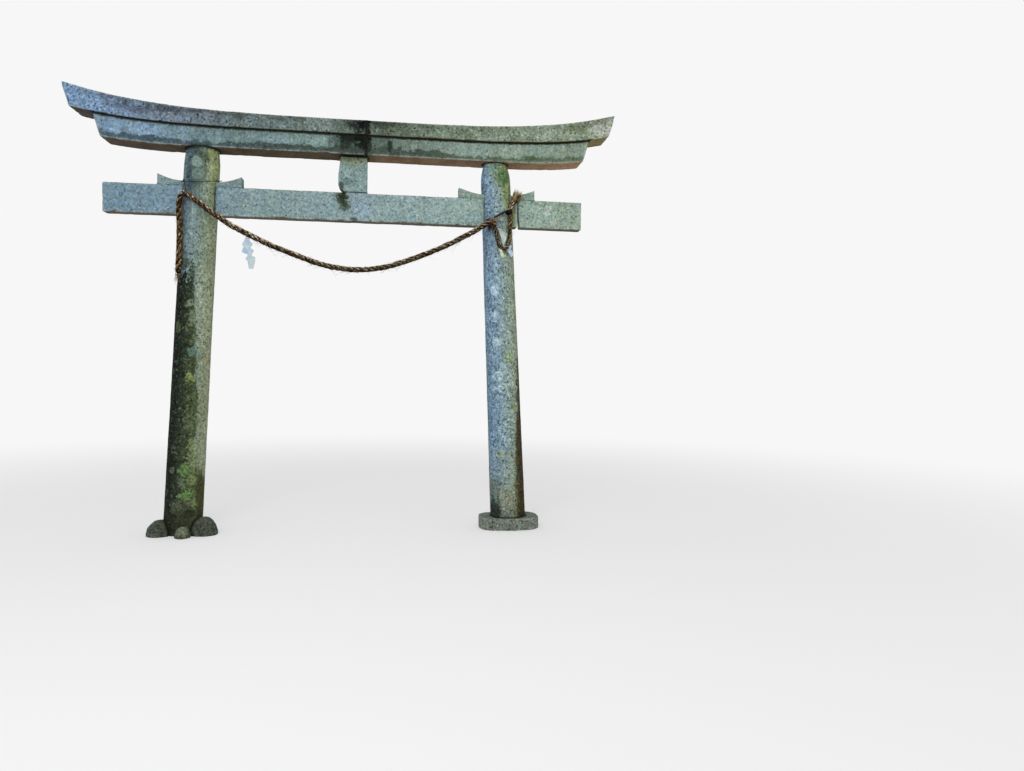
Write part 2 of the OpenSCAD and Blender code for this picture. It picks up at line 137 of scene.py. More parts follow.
# One material under construction; most methods return a socket that the next can take
class Paint:
    def __init__(self, name):
        self.material = bpy.data.materials.new(name)
        self.material.use_nodes = True
        self.nodes = self.material.node_tree.nodes
        self.links = self.material.node_tree.links
        self.shader = self.nodes["Principled BSDF"]
        self.place = self.node("TexCoord")["Object"]
        self.facing = self.split(self.node("NewGeometry")["Normal"])
        self.x, _, self.z = self.split(self.place)

    def feed(self, socket, value):
        if isinstance(value, bpy.types.NodeSocket):
            self.links.new(value, socket)
        else:
            socket.default_value = value

    def node(self, kind, fed=(), **settings):
        # the outputs of a new node, fed in order, or by name or number
        node = self.nodes.new("ShaderNode" + kind)
        for name, value in settings.items():
            setattr(node, name, value)
        for socket, value in (fed.items() if isinstance(fed, dict) else enumerate(fed)):
            self.feed(node.inputs[socket], value)
        return node.outputs

    def split(self, vector):
        return self.node("SeparateXYZ", [vector])

    def maths(self, how, *values):
        return self.node("Math", values, operation=how)[0]

    def times(self, first, *others):
        for other in others:
            first = self.maths("MULTIPLY", first, other)
        return first

    def plus(self, base, value, share):
        # a share of a value added to a base
        return self.maths("MULTIPLY_ADD", value, share, base)

    def minus(self, first, second):
        return self.maths("SUBTRACT", first, second)

    def cloud(self, size, detail=3.0, roughness=0.55, place=None):
        return self.node("TexNoise", {"Scale": 1 / size, "Detail": detail, "Roughness": roughness,
                                      "Vector": place or self.place})[0]

    def cells(self, size, place=None):
        # distance to the nearest cell's middle, and a random value for each cell
        out = self.node("TexVoronoi", {"Scale": 1 / size, "Vector": place or self.place})
        return out["Distance"], self.split(out["Color"])[0]

    def stretched(self, up):
        # the place with its height scaled, which draws noise out upright
        return self.node("Mapping", {"Vector": self.place, "Scale": (1, 1, up)})[0]

    def shaken(self, size, reach):
        # the place, shifted a little by noise, for ragged edges
        noise = self.node("TexNoise", {"Scale": 1 / size, "Vector": self.place})["Color"]
        return self.node("VectorMath", (noise, (reach,) * 3, self.place), operation="MULTIPLY_ADD")[0]

    def step(self, value, low, high):
        # 0 up to low, 1 from high on, smooth between; falling instead where low is above high
        return self.node("MapRange", {"Value": value, "From Min": low, "From Max": high},
                         interpolation_type="SMOOTHSTEP")[0]

    def level(self, value, low, high, atLow, atHigh):
        return self.node("MapRange", {"Value": value, "From Min": low, "From Max": high,
                                      "To Min": atLow, "To Max": atHigh})[0]

    def ramp(self, value, stops):
        node = self.nodes.new("ShaderNodeValToRGB")
        self.feed(node.inputs[0], value)
        elements = node.color_ramp.elements
        while len(elements) < len(stops):
            elements.new(0.5)
        for element, (at, colour) in zip(elements, stops):
            element.position = at
            element.color = colour
        return node.outputs[0]

    def tones(self, value, stops):
        return self.ramp(value, [(at, shade(*colour)) for at, colour in stops])

    def profile(self, value, stops):
        # a number from 0 to 1 that follows given pairs of a place and a number
        low, high = stops[0][0], stops[-1][0]
        return self.ramp(self.level(value, low, high, 0, 1),
                         [((at - low) / (high - low), grey(number)) for at, number in stops])

    def over(self, under, amount, colour, how="MIX"):
        return self.node("Mix", {0: amount, 6: under, 7: colour}, data_type="RGBA", blend_type=how)[2]

    def coat(self, under, mask, strength, tint):
        # a coat in a chart colour, only where the mask is
        return self.over(under, self.times(mask, strength), shade(*tint))

    def tinted(self, colour, tint):
        return self.over(colour, 1.0, tint, "MULTIPLY")

    def broken(self, mask, noise, reach, low=0.38, high=0.66):
        # a soft mask whose edge is broken up by a noise that goes round 0
        return self.step(self.plus(mask, noise, reach), low, high)

    def away(self, centre, radii):
        # distance from a place, 1 at the ellipsoid's surface
        scale = [1 / r for r in radii]
        shift = [-c / r for c, r in zip(centre, radii)]
        scaled = self.node("VectorMath", (self.place, scale, shift), operation="MULTIPLY_ADD")
        return self.node("VectorMath", scaled[:1], operation="LENGTH")["Value"]

    def stored(self, name, kind="Fac"):
        return self.node("Attribute", attribute_name=name)[kind]

    def bump(self, height, depth):
        return self.node("Bump", {"Distance": depth, "Height": height})[0]

    def finish(self, colour, roughness, normal=None):
        self.feed(self.shader.inputs["Base Color"], colour)
        self.feed(self.shader.inputs["Roughness"], roughness)
        if normal:
            self.feed(self.shader.inputs["Normal"], normal)
        return self.material


def hashed(cells, seed):
    # a random number from 0 to 1 for each whole-numbered cell
    mixed = (cells[..., 0] * 374761393 + cells[..., 1] * 668265263 + cells[..., 2] * 1442695041
             + seed * 974711) & 0x7FFFFFFF
    mixed = ((mixed ^ (mixed >> 13)) * 1274126177) & 0x7FFFFFFF
    return ((mixed ^ (mixed >> 16)) & 0xFFFF) / 0xFFFF


def cloudy(points, size, seed):
    # smooth noise from 0 to 1 over points, with lumps about size across
    spots = np.asarray(points, float) / size + 1000  # the 1000 keeps the cells' numbers above 0
    cells = np.floor(spots).astype(np.int64)
    part = spots - cells
    part = part * part * (3 - 2 * part)
    total = np.zeros(len(spots))
    for corner in np.ndindex(2, 2, 2):
        share = np.prod(np.where(corner, part, 1 - part), axis=1)
        total += share * hashed(cells + np.array(corner), seed)
    return total


def ramped(value, low, high):
    part = np.clip((value - low) / (high - low), 0, 1)
    return part * part * (3 - 2 * part)


def linkPiece(name, points, faces, material, nodes=(), smooth=True):
    mesh = bpy.data.meshes.new(name)
    mesh.from_pydata([tuple(p) for p in points], [], faces)
    mesh.validate()
    if smooth:
        mesh.shade_smooth()
    mesh.materials.append(material)
    piece = bpy.data.objects.new(name, mesh)
    bpy.context.collection.objects.link(piece)
    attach(piece, "root")
    if nodes:
        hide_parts(*nodes)
    return piece


def store(mesh, name, values):
    # a number, or a vector of three, for each point of a mesh
    values = np.asarray(values, np.float32)
    kind, field = ("FLOAT", "value") if values.ndim == 1 else ("FLOAT_VECTOR", "vector")
    mesh.attributes.new(name, kind, "POINT").data.foreach_set(field, values.ravel())


# Rope and cord

# Points along each rope's middle, in metres
routes = {
    "straw_rope": [
        (-1.478, -0.184, 3.076), (-1.412, -0.190, 3.052), (-1.328, -0.190, 2.990), (-1.243, -0.190, 2.925),
        (-1.156, -0.190, 2.866), (-1.053, -0.190, 2.798), (-0.905, -0.190, 2.724), (-0.766, -0.190, 2.658),
        (-0.625, -0.190, 2.602), (-0.458, -0.190, 2.541), (-0.325, -0.190, 2.495), (-0.180, -0.190, 2.459),
        (-0.011, -0.190, 2.440), (0.098, -0.190, 2.441), (0.216, -0.190, 2.454), (0.325, -0.190, 2.476),
        (0.444, -0.190, 2.512), (0.600, -0.190, 2.572), (0.758, -0.190, 2.638), (0.900, -0.190, 2.706),
        (1.009, -0.190, 2.764), (1.116, -0.192, 2.822), (1.216, -0.194, 2.886), (1.300, -0.196, 2.934)],
    "rope_tail": [
        (-1.490, -0.160, 3.068), (-1.516, -0.140, 3.010), (-1.522, -0.128, 2.930), (-1.520, -0.122, 2.850),
        (-1.518, -0.124, 2.760), (-1.516, -0.131, 2.670), (-1.517, -0.136, 2.580), (-1.520, -0.138, 2.500),
        (-1.524, -0.138, 2.420), (-1.528, -0.138, 2.350)],
    "rope_loop": [
        (1.322, -0.196, 2.916), (1.336, -0.196, 2.866), (1.346, -0.196, 2.810), (1.356, -0.194, 2.756),
        (1.376, -0.190, 2.706), (1.412, -0.184, 2.682), (1.450, -0.176, 2.704), (1.468, -0.166, 2.752),
        (1.476, -0.154, 2.820), (1.480, -0.142, 2.900), (1.486, -0.132, 2.980), (1.494, -0.124, 3.050),
        (1.508, -0.114, 3.112), (1.524, -0.100, 3.158)],
    "tie_cord": [
        (1.318, -0.190, 2.966), (1.354, -0.186, 2.990), (1.396, -0.176, 3.014), (1.438, -0.160, 3.040),
        (1.484, -0.132, 3.062)],
}

# How each is laid up, in metres: strands round the middle, one turn in every lay. rough and swell are how
# lumpy and how uneven in thickness the strands are, slack makes them thinner and thick sets their share.
# strays is how many straws of about the length stray stand off it, brush how many at its end, and hugging
# how many lie along it.
layUp = {
    "straw_rope": {
        "diameter": 0.050, "strands": 3, "lay": 0.165, "rough": 0.26, "swell": 0.34, "length": 3.04,
        "seed": 11, "strays": 420, "stray": 0.070, "hugging": 420, "finish": "weatheredStraw",
        "slot": "straw", "sides": 14, "step": 0.006, "stiffness": "medium"},
    "rope_tail": {
        "diameter": 0.050, "strands": 3, "lay": 0.200, "rough": 0.24, "swell": 0.30, "length": 0.73,
        "seed": 23, "strays": 110, "stray": 0.060, "hugging": 130, "finish": "goldenStraw",
        "slot": "straw", "sides": 14, "step": 0.006, "stiffness": "medium", "slack": 0.12, "brush": 60,
        "taper": 0.05},
    "rope_loop": {
        "diameter": 0.037, "strands": 2, "lay": 0.080, "rough": 0.26, "swell": 0.34, "length": 0.78,
        "seed": 37, "strays": 170, "stray": 0.055, "hugging": 140, "finish": "darkStraw",
        "slot": "straw", "sides": 12, "step": 0.006, "stiffness": "medium", "thick": 0.29},
    "tie_cord": {
        "diameter": 0.018, "strands": 2, "lay": 0.050, "rough": 0.14, "swell": 0.16, "length": 0.20,
        "seed": 41, "strays": 16, "stray": 0.025, "hugging": 20, "finish": "darkHemp",
        "slot": "dark_cord", "sides": 12, "step": 0.004, "stiffness": "limp"},
}

# What all strands have in common
strand = {
    "thick": {1: 0.5, 2: 0.262, 3: 0.240},  # a strand's radius in rope diameters, by the number of strands
    "swell": 0.16,
    "tip": 0.35,  # what is left of the thickness at a tapered end
    "fibreTurn": 2.2,  # turns of the fibres for each turn of the strand
    "lumpLength": 0.05,
    "swellLength": 0.07,
    "drawnOut": 0.13,  # how much closer the fibres' noise is taken along them than across
}

# Straws that stand off a rope, and those of the brush at its end: shares of the rope's stray length and of
# its radius, except the straws' own radius in metres
stray = {"shortest": 0.4, "longer": 0.9, "lift": (0.08, 0.5), "brushLift": (0.02, 0.28),
         "droop": (0.05, 0.45), "bend": (-0.2, 0.2), "root": 0.82, "brushRoot": (0.1, 0.8),
         "radius": (0.0007, 0.0013), "tone": (0.8, 1.15)}

# Straws that came loose from the lay and lie along a rope's outside: length and radius in metres
hugging = {"length": (0.05, 0.13), "turn": (0.6, 2.6), "lift": (0.06, 0.16), "root": 0.86,
           "radius": (0.0012, 0.0024), "tone": (0.55, 1.25)}


def throughPoints(route, step, closed=False):
    # a smooth line through a route's points, with points about a step apart
    p = np.array(route, float)
    if closed:
        p = np.vstack([p[-1:], p, p[:2]])
    else:
        p = np.vstack([2 * p[0] - p[1], p, 2 * p[-1] - p[-2]])
    a, b, c, d = (p[i:len(p) - 3 + i, None] for i in range(4))
    t = np.linspace(0, 1, 16, endpoint=False)[None, :, None]
    fine = 0.5 * (2 * b + (c - a) * t + (2 * a - 5 * b + 4 * c - d) * t ** 2
                  + (3 * b - a - 3 * c + d) * t ** 3)
    fine = np.vstack([fine.reshape(-1, 3), p[-2:-1]])
    return evenly(fine, step)


def evenly(line, step):
    along = travelled(line)
    count = max(3, int(round(along[-1] / step)) + 1)
    at = np.linspace(0, along[-1], count)
    return np.stack([np.interp(at, along, line[:, k]) for k in range(3)], axis=1)


def travelled(line):
    return np.concatenate([[0], np.cumsum(np.linalg.norm(np.diff(line, axis=0), axis=1))])


def unit(vectors):
    return vectors / np.maximum(np.linalg.norm(vectors, axis=-1, keepdims=True), 1e-9)


def carried(line):
    # the heading at each point, and two directions across it that don't twist
    heading = unit(np.gradient(line, axis=0))
    start = np.cross(heading[0], (0, 1, 0) if abs(heading[0][1]) < 0.9 else (1, 0, 0))
    sides = [unit(start)]
    for ahead in heading[1:]:
        sides.append(unit(sides[-1] - ahead * np.dot(sides[-1], ahead)))
    side = np.array(sides)
    return heading, side, np.cross(heading, side)


def around(side, cross, angle):
    # the direction at an angle from one side towards the other
    return side * np.cos(angle) + cross * np.sin(angle)


def circle(sides):
    return np.linspace(0, 2 * math.pi, sides, endpoint=False)


def tubeFaces(rings, sides, first):
    faces = []
    for i in range(rings - 1):
        for j in range(sides):
            k = (j + 1) % sides
            low, high = first + i * sides, first + (i + 1) * sides
            faces.append((low + j, low + k, high + k, high + j))
    faces.append(tuple(first + j for j in reversed(range(sides))))
    faces.append(tuple(first + (rings - 1) * sides + j for j in range(sides)))
    return faces


# Many tubes in one mesh, with what the materials read at each point
class Tubes:
    def __init__(self):
        self.points, self.faces, self.fibres, self.depths = [], [], [], []
        self.count = 0

    def add(self, rings, fibre, depth):
        count, sides = rings.shape[:2]
        self.faces += tubeFaces(count, sides, self.count)
        self.points.append(rings.reshape(-1, 3))
        self.fibres.append(fibre.reshape(-1, 3))
        self.depths.append(depth.ravel())
        self.count += count * sides

    def link(self, name, material, slotName, nodes=()):
        piece = linkPiece(name, np.vstack(self.points), self.faces, material, nodes)
        store(piece.data, "fibre", np.vstack(self.fibres))
        store(piece.data, "depth", np.concatenate(self.depths))
        return piece


def layStrands(tubes, line, rope, sides=12):
    # strands wound round a line; depth is 1 on their crests and less in the grooves
    _, side, cross = carried(line)
    far = travelled(line)
    strands, seed = rope["strands"], rope["seed"]
    thick = rope.get("thick", strand["thick"][strands]) * rope["diameter"] * (1 - rope.get("slack", 0))
    offset = rope["diameter"] / 2 - thick
    narrow = np.ones(len(line))
    if "taper" in rope:
        narrow = strand["tip"] + (1 - strand["tip"]) * ramped(far[-1] - far, 0, rope["taper"])
    theta = circle(sides)
    for k in range(strands):
        turn = 2 * math.pi * (far / rope["lay"] + k / strands)
        out = around(side, cross, turn[:, None])
        middle = line + out * (offset * narrow)[:, None]
        rim = np.cross(unit(np.gradient(middle, axis=0)), out)
        spin = theta[None, :] - strand["fibreTurn"] * turn[:, None]
        place = np.stack([np.cos(spin) * 1.6 + 7 * k, np.sin(spin) * 1.6,
                          np.repeat(far[:, None] / strand["lumpLength"], sides, axis=1)], axis=2)
        place = place.reshape(-1, 3)
        lumps = cloudy(place, 1.0, seed) + 0.9 * cloudy(place, 0.4, seed + 1) - 0.95
        place = np.stack([far / strand["swellLength"] + 3 * k, far * 0, far * 0], axis=1)
        swell = 1 + rope.get("swell", strand["swell"]) * (cloudy(place, 1.0, seed + 2) - 0.5)
        radius = (thick * narrow * swell)[:, None] * (1 + rope["rough"] * lumps.reshape(len(line), sides))
        rings = middle[:, None] + radius[..., None] * around(out[:, None], rim[:, None], theta[None, :, None])
        fibre = np.stack([np.cos(spin) * thick + 0.3 * k, np.sin(spin) * thick,
                          np.repeat(far[:, None] * strand["drawnOut"], sides, axis=1)], axis=2)
        depth = np.linalg.norm(rings - line[:, None], axis=2) / (rope["diameter"] / 2)
        tubes.add(rings, fibre, depth)


def addStraw(tubes, line, radius, sides, tone, rng):
    # one thin straw that narrows to its tip; its tone stands in for a strand's depth
    _, side, cross = carried(line)
    radii = radius * np.linspace(1, 0.45, len(line))
    rings = (line[:, None] + radii[:, None, None]
             * around(side[:, None], cross[:, None], circle(sides)[None, :, None]))
    far = np.repeat((travelled(line) * strand["drawnOut"])[:, None], sides, axis=1)
    where = rng.random(2) * 0.5
    fibre = np.stack([np.full_like(far, where[0]), np.full_like(far, where[1]), far], axis=2)
    tubes.add(rings, fibre, np.full(far.shape, tone))


def strayStraws(tubes, line, rope):
    # loose straws that stand off a rope and hang from it, and a brush of them at its end
    rng = np.random.default_rng(rope["seed"] + 5)
    heading, side, cross = carried(line)
    for n in range(rope["strays"] + rope.get("brush", 0)):
        atEnd = n >= rope["strays"]
        i = len(line) - 3 if atEnd else int(rng.integers(2, len(line) - 3))
        out = around(side[i], cross[i], rng.random() * 2 * math.pi)
        way = heading[i] * (1 if atEnd or rng.random() < 0.5 else -1)
        length = rope["stray"] * (stray["shortest"] + stray["longer"] * rng.random())
        lift = rng.uniform(*stray["brushLift" if atEnd else "lift"])
        root = rng.uniform(*stray["brushRoot"]) if atEnd else stray["root"]
        t = np.linspace(0, 1, 6)[:, None]
        droop = np.array((0, 0, -1)) * length * rng.uniform(*stray["droop"])
        bend = cross[i] * length * rng.uniform(*stray["bend"])
        straw = (line[i] + out * rope["diameter"] / 2 * root + length * t * (way + out * lift)
                 + t ** 2 * (droop + bend))
        addStraw(tubes, straw, rng.uniform(*stray["radius"]), 3, rng.uniform(*stray["tone"]), rng)


def huggingStraws(tubes, line, rope):
    rng = np.random.default_rng(rope["seed"] + 9)
    _, side, cross = carried(line)
    step = travelled(line)[-1] / (len(line) - 1)
    t = np.linspace(0, 1, 9)
    for _ in range(rope["hugging"]):
        count = int(rng.uniform(*hugging["length"]) / step)
        start = int(rng.integers(0, max(1, len(line) - count - 1)))
        i = np.linspace(start, start + count, len(t)).astype(int)
        angle = rng.random() * 2 * math.pi + t * rng.uniform(*hugging["turn"])
        lift = rope["diameter"] / 2 * (hugging["root"] + rng.uniform(*hugging["lift"]) * np.sin(math.pi * t))
        straw = line[i] + lift[:, None] * around(side[i], cross[i], angle[:, None])
        addStraw(tubes, straw, rng.uniform(*hugging["radius"]), 4, rng.uniform(*hugging["tone"]), rng)


# Each straw's colours on its crests, also painted as a highlight on what faces up, between them, in its
# darkest fibres and where it is bleached, and how large its clumps of light and dark are, in metres
straws = {
    "weatheredStraw": ((162, 138, 106), (84, 67, 48), (32, 24, 17), (212, 196, 168), 0.024),
    "goldenStraw": ((160, 130, 84), (100, 76, 44), (34, 25, 16), (206, 188, 146), 0.024),
    "darkStraw": ((162, 136, 96), (74, 58, 40), (25, 19, 13), (218, 200, 166), 0.018),
    "darkHemp": ((70, 66, 58), (36, 34, 30), (18, 17, 15), (112, 108, 98), 0.024),
    "lumpStraw": ((160, 108, 58), (84, 56, 34), (22, 16, 11), (204, 170, 146), 0.028),
    "raggedStraw": ((166, 134, 82), (124, 92, 50), (58, 40, 22), (226, 214, 168), 0.03),
    "bindingStraw": ((120, 100, 64), (88, 70, 42), (40, 31, 21), (150, 136, 104), 0.024),
}


def strawFinish(name):
    # old twisted straw: clumps of light and dark fibres, painted shade in the grooves and on what faces down,
    # and a painted highlight with sun bleaching where it faces up
    top, middle, dark, bleach, clumpSize = straws[name]
    paint = Paint(name)
    paint.shader.inputs["Specular IOR Level"].default_value = 0.08
    fibre, depth = paint.stored("fibre", "Vector"), paint.stored("depth")
    fine = paint.cloud(0.0024, 4, 0.65, fibre)
    yarn = paint.cloud(0.0065, 3, 0.6, fibre)
    clump = paint.cloud(clumpSize, 3, 0.66)
    patch = paint.cloud(0.11, 3, 0.6)
    colour = paint.over(shade(*dark), paint.step(yarn, 0.38, 0.58), shade(*middle))
    colour = paint.coat(colour, paint.step(fine, 0.52, 0.68), 0.5, top)
    upward = paint.plus(clump, paint.facing[2], 0.30)
    # a painted highlight on what faces up
    colour = paint.coat(colour, paint.step(upward, 0.46, 0.74), 0.85, top)
    # pale patches on what faces up: partly sun bleaching, partly a painted highlight
    bleached = paint.times(paint.step(upward, 0.58, 0.72), paint.step(patch, 0.38, 0.56))
    colour = paint.coat(colour, bleached, 0.9, bleach)
    colour = paint.coat(colour, paint.step(depth, 1.08, 1.2), 0.75, bleach)
    # painted shade on what faces down
    shaded = paint.step(paint.plus(paint.facing[2], clump, 0.9), 0.42, -0.30)
    colour = paint.coat(colour, shaded, 0.9, (22, 16, 12))
    # painted shade in the grooves between strands
    colour = paint.over(colour, paint.step(depth, 0.95, 0.65), shade(14, 10, 7))
    colour = paint.tinted(colour, paint.level(clump, 0.36, 0.64, 0.55, 1.35))
    return paint.finish(colour, 0.9, paint.bump(paint.plus(fine, yarn, 1.2), 0.0030))


def makeRopes(finishes):
    made = {}
    for name, rope in layUp.items():
        line = throughPoints(routes[name], rope["step"])
        finish = finishes[rope["finish"]]
        body = Tubes()
        layStrands(body, line, rope, rope["sides"])
        piece = body.link(name + "_strands", finish, rope["slot"], [name])
        loose = Tubes()
        strayStraws(loose, line, rope)
        huggingStraws(loose, line, rope)
        made[name] = (piece, loose.link(name + "_strays", finish, rope["slot"]), line)
    return made


# The cord's end goes round the loop's standing part; middle is how high its turns are, in metres
wrap = {"middle": 3.035, "right": 1.45, "turns": 3.5, "pitch": 0.012, "reach": 0.025,
        "shift": (-0.022, -0.008, 0.0),
        "cord": {"diameter": 0.014, "strands": 2, "lay": 0.04, "rough": 0.12, "seed": 47}}


def makeWrap(loop, finish):
    # the loop's point at that height, on its right strand
    i = np.argmin(np.abs(loop[:, 2] - wrap["middle"]) + (loop[:, 0] < wrap["right"]))
    heading, side, cross = (part[i] for part in carried(loop))
    turns = np.linspace(-0.5, 0.5, 72)[:, None]
    line = (loop[i] + wrap["shift"] + heading * turns * wrap["turns"] * wrap["pitch"]
            + wrap["reach"] * around(side, cross, 2 * math.pi * wrap["turns"] * turns))
    body = Tubes()
    layStrands(body, line, wrap["cord"], 8)
    return body.link("tie_cord_wrap", finish, "dark_cord")


def middleAndWidth(node):
    low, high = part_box(node)
    return np.array((low + high) / 2), high.x - low.x


# The rope's end, tied in a ball: a cloverleaf knot with a fringe that hangs from it and whiskers on its right
knot = {"shift": (-0.014, 0.0, -0.022), "spread": 0.008, "fringe": 46, "hang": 0.075,
        "fringeRadius": (0.0012, 0.0022), "fringeTone": (0.5, 0.9), "whiskers": 24,
        "whiskerLength": (0.04, 0.075), "whiskerRadius": (0.0012, 0.0020), "whiskerTone": (1.05, 1.25),
        "rope": {"diameter": 0.031, "strands": 2, "lay": 0.075, "rough": 0.24, "strays": 60, "stray": 0.045,
                 "seed": 53}}


def makeLump(straw):
    centre, width = middleAndWidth("rope_lump")
    centre = centre + knot["shift"]
    rope = knot["rope"]
    reach = width / 2 - rope["diameter"] / 2 + knot["spread"]
    t = circle(48)
    path = np.stack([np.sin(t) + 2 * np.sin(2 * t), -np.sin(3 * t) * 1.1,
                     np.cos(t) - 2 * np.cos(2 * t)], axis=1)
    line = throughPoints(centre + path * reach / 3, 0.004, closed=True)
    body = Tubes()
    layStrands(body, line, rope)
    piece = body.link("rope_lump_knot", straw, "straw", ["rope_lump"])
    loose = Tubes()
    strayStraws(loose, line, rope)
    rng = np.random.default_rng(rope["seed"])
    t = np.linspace(0, 1, 7)[:, None]
    for _ in range(knot["fringe"]):
        angle, out = rng.random() * 2 * math.pi, reach * math.sqrt(rng.random())
        start = centre + np.array((out * math.cos(angle), out * math.sin(angle) * 0.6, -0.3 * reach))
        drift = np.array((rng.uniform(-0.2, 0.3), rng.uniform(-0.15, 0.15), -1.0))
        line = (start + t * drift * knot["hang"] * rng.uniform(0.5, 1.1)
                + t ** 2 * (0.012, 0, 0) * rng.uniform(-1, 1))
        addStraw(loose, line, rng.uniform(*knot["fringeRadius"]), 4, rng.uniform(*knot["fringeTone"]), rng)
    for _ in range(knot["whiskers"]):
        start = centre + np.array((rng.uniform(-0.01, 0.03), rng.uniform(-0.03, 0.0),
                                   rng.uniform(0.2, 0.9) * reach))
        along = np.array((1.0, rng.uniform(-0.2, 0.2), rng.uniform(0.1, 0.7)))
        along = along * rng.uniform(*knot["whiskerLength"])
        line = start + t * along - t ** 2 * (0, 0, rng.uniform(0, 0.02))
        addStraw(loose, line, rng.uniform(*knot["whiskerRadius"]), 4, rng.uniform(*knot["whiskerTone"]), rng)
    return piece, loose.link("rope_lump_strays", straw, "straw")


# The ragged straw knot that stands on the right wedge: it leans to the right by so many degrees, and two of
# its eight bundles are bleached
tuft = {"straws": 220, "radius": (0.0016, 0.0032), "waist": 0.016, "flare": 0.056, "below": 0.45,
        "reach": 0.104, "lean": 27.0, "shift": (-0.014, 0.0, -0.018), "seed": 61, "bundles": 8,
        "bleached": (2, 5), "paleTone": (1.08, 1.22), "tone": (0.80, 1.02), "turns": 4,
        "binding": {"diameter": 0.006, "strands": 1, "lay": 0.03, "rough": 0.2, "seed": 67}}


def makeTuft(straw, hemp):
    centre = middleAndWidth("straw_knot")[0] + tuft["shift"]
    lean = math.radians(tuft["lean"])
    up = np.array((math.sin(lean), 0, math.cos(lean)))
    side = np.array((math.cos(lean), 0, -math.sin(lean)))
    cross = np.array((0.0, 1.0, 0.0))
    rng = np.random.default_rng(tuft["seed"])
    body = Tubes()
    for _ in range(tuft["straws"]):
        angle = rng.random() * 2 * math.pi
        inner = tuft["waist"] * math.sqrt(rng.random())
        h = np.linspace(-1, 1, 11)
        ends = [rng.uniform(0.40, 1.15), rng.uniform(0.40, 1.30)]
        flares = [inner + (tuft["flare"] - inner) * rng.random() ** 0.6 for _ in range(2)]
        height = np.where(h < 0, h * ends[0], h * ends[1]) * tuft["reach"]
        spread = np.where(h < 0, inner + (flares[0] - inner) * tuft["below"], flares[1])
        out = inner + (spread - inner) * np.abs(h) ** 1.15
        turn = angle + h * rng.uniform(-0.3, 0.3)
        line = centre + height[:, None] * up + out[:, None] * around(side, cross, turn[:, None])
        bundle = int(angle / (2 * math.pi) * tuft["bundles"])
        tone = rng.uniform(*tuft["paleTone" if bundle in tuft["bleached"] else "tone"])
        addStraw(body, line, rng.uniform(*tuft["radius"]), 4, tone, rng)
    body.link("straw_knot_tuft", straw, "fresh_straw", ["straw_knot"])
    wraps = Tubes()
    thick = tuft["binding"]["diameter"]
    turns = np.linspace(0, 2 * math.pi * tuft["turns"], 24 * tuft["turns"])
    rise = (turns / turns[-1] - 0.5) * tuft["turns"] * thick
    reach = tuft["waist"] + thick * 0.55
    line = centre + rise[:, None] * up + reach * around(side, cross, turns[:, None])
    layStrands(wraps, line, tuft["binding"], 8)
    wraps.link("straw_knot_binding", hemp, "fresh_straw")


# Wire round the left pillar, and the link that carries the rope. It rises to the back by tip and to the right
# by roll, in degrees.
wire = {"tip": 14.0, "roll": 2.8, "drop": 0.006,
        "twist": {"diameter": 0.008, "strands": 2, "lay": 0.028, "rough": 0.02, "seed": 71}}


def wireFinish():
    paint = Paint("rustedWire")
    rust = paint.cloud(0.012, 4, 0.6)
    colour = paint.over(shade(26, 24, 22), paint.step(rust, 0.45, 0.62), shade(58, 42, 32))
    paint.shader.inputs["Metallic"].default_value = 0.35
    return paint.finish(colour, paint.level(rust, 0.3, 0.7, 0.5, 0.8), paint.bump(rust, 0.0006))


def makeWire():
    finish = wireFinish()
    centre, width = middleAndWidth("tie_wire")
    hoop = (width - wire["twist"]["diameter"]) / 2
    tip, roll = math.radians(wire["tip"]), math.radians(wire["roll"])
    t = np.linspace(0, 2 * math.pi, 160)
    ring = centre + hoop * np.stack([np.cos(t), np.sin(t) * math.cos(tip), np.sin(t) * math.sin(tip)], axis=1)
    ring[:, 2] += (ring[:, 0] - centre[0]) * math.tan(roll) - wire["drop"]
    body = Tubes()
    layStrands(body, ring, wire["twist"], 8)
    body.link("tie_wire_twist", finish, "wire", ["tie_wire"])
    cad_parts["rope_hanger"].material_slots[0].material = finish


# Stones

# How stones are worn: grid is the size of a facet, crisp and soft are rounds of smoothing at sharp and at
# worn arrises, wave and pit are depths of unevenness, chip is the depth of chips, all in metres, and full
# gives a share of the wave back to a stone that bulges
wear = {
    "dressed": {"grid": 0.008, "crisp": 1, "soft": 5, "wave": 0.0016, "pit": 0.0008, "chip": 0.007},
    "pillar": {"grid": 0.010, "crisp": 1, "soft": 4, "wave": 0.0030, "pit": 0.0012, "chip": 0.006},
    "small": {"grid": 0.005, "crisp": 1, "soft": 4, "wave": 0.0010, "pit": 0.0007, "chip": 0.006},
    "boulder": {"grid": 0.006, "crisp": 3, "soft": 6, "wave": 0.0260, "pit": 0.0050, "chip": 0.004,
                "full": 0.7},
    "slab": {"grid": 0.008, "crisp": 2, "soft": 7, "wave": 0.0060, "pit": 0.0020, "chip": 0.010},
}

# How far apart the lumps of each kind of wear are, in metres
apart = {"dull": 0.13, "chip": 0.055, "wave": 0.22, "ripple": 0.07, "pit": 0.022}

# Dents that show one by one: middle, radius and depth
dents = {
    "under_lintel_right": [((1.598, -0.134, 3.673), 0.020, 0.012)],
    "tie_beam_centre": [((0.016, -0.062, 2.910), 0.032, 0.014)],
    "tie_beam_left_end": [((-1.727, -0.062, 3.170), 0.018, 0.008)],
    "top_lintel_right": [((2.490, -0.153, 4.000), 0.050, 0.014), ((2.330, -0.153, 3.990), 0.035, 0.008)],
    "top_lintel_left": [((-2.500, -0.153, 4.010), 0.040, 0.010)],
    "right_inner_wedge": [((1.010, -0.057, 3.265), 0.022, 0.010)],
}

touchReach = 0.05  # from how far off another stone counts as near
columnWidth = 0.03  # a lintel's underside and top are measured in columns this wide


def stoneSurface(node):
    mesh = bmesh.new()
    mesh.from_mesh(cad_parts[node].data)
    bmesh.ops.remove_doubles(mesh, verts=mesh.verts, dist=0.00002)
    return mesh


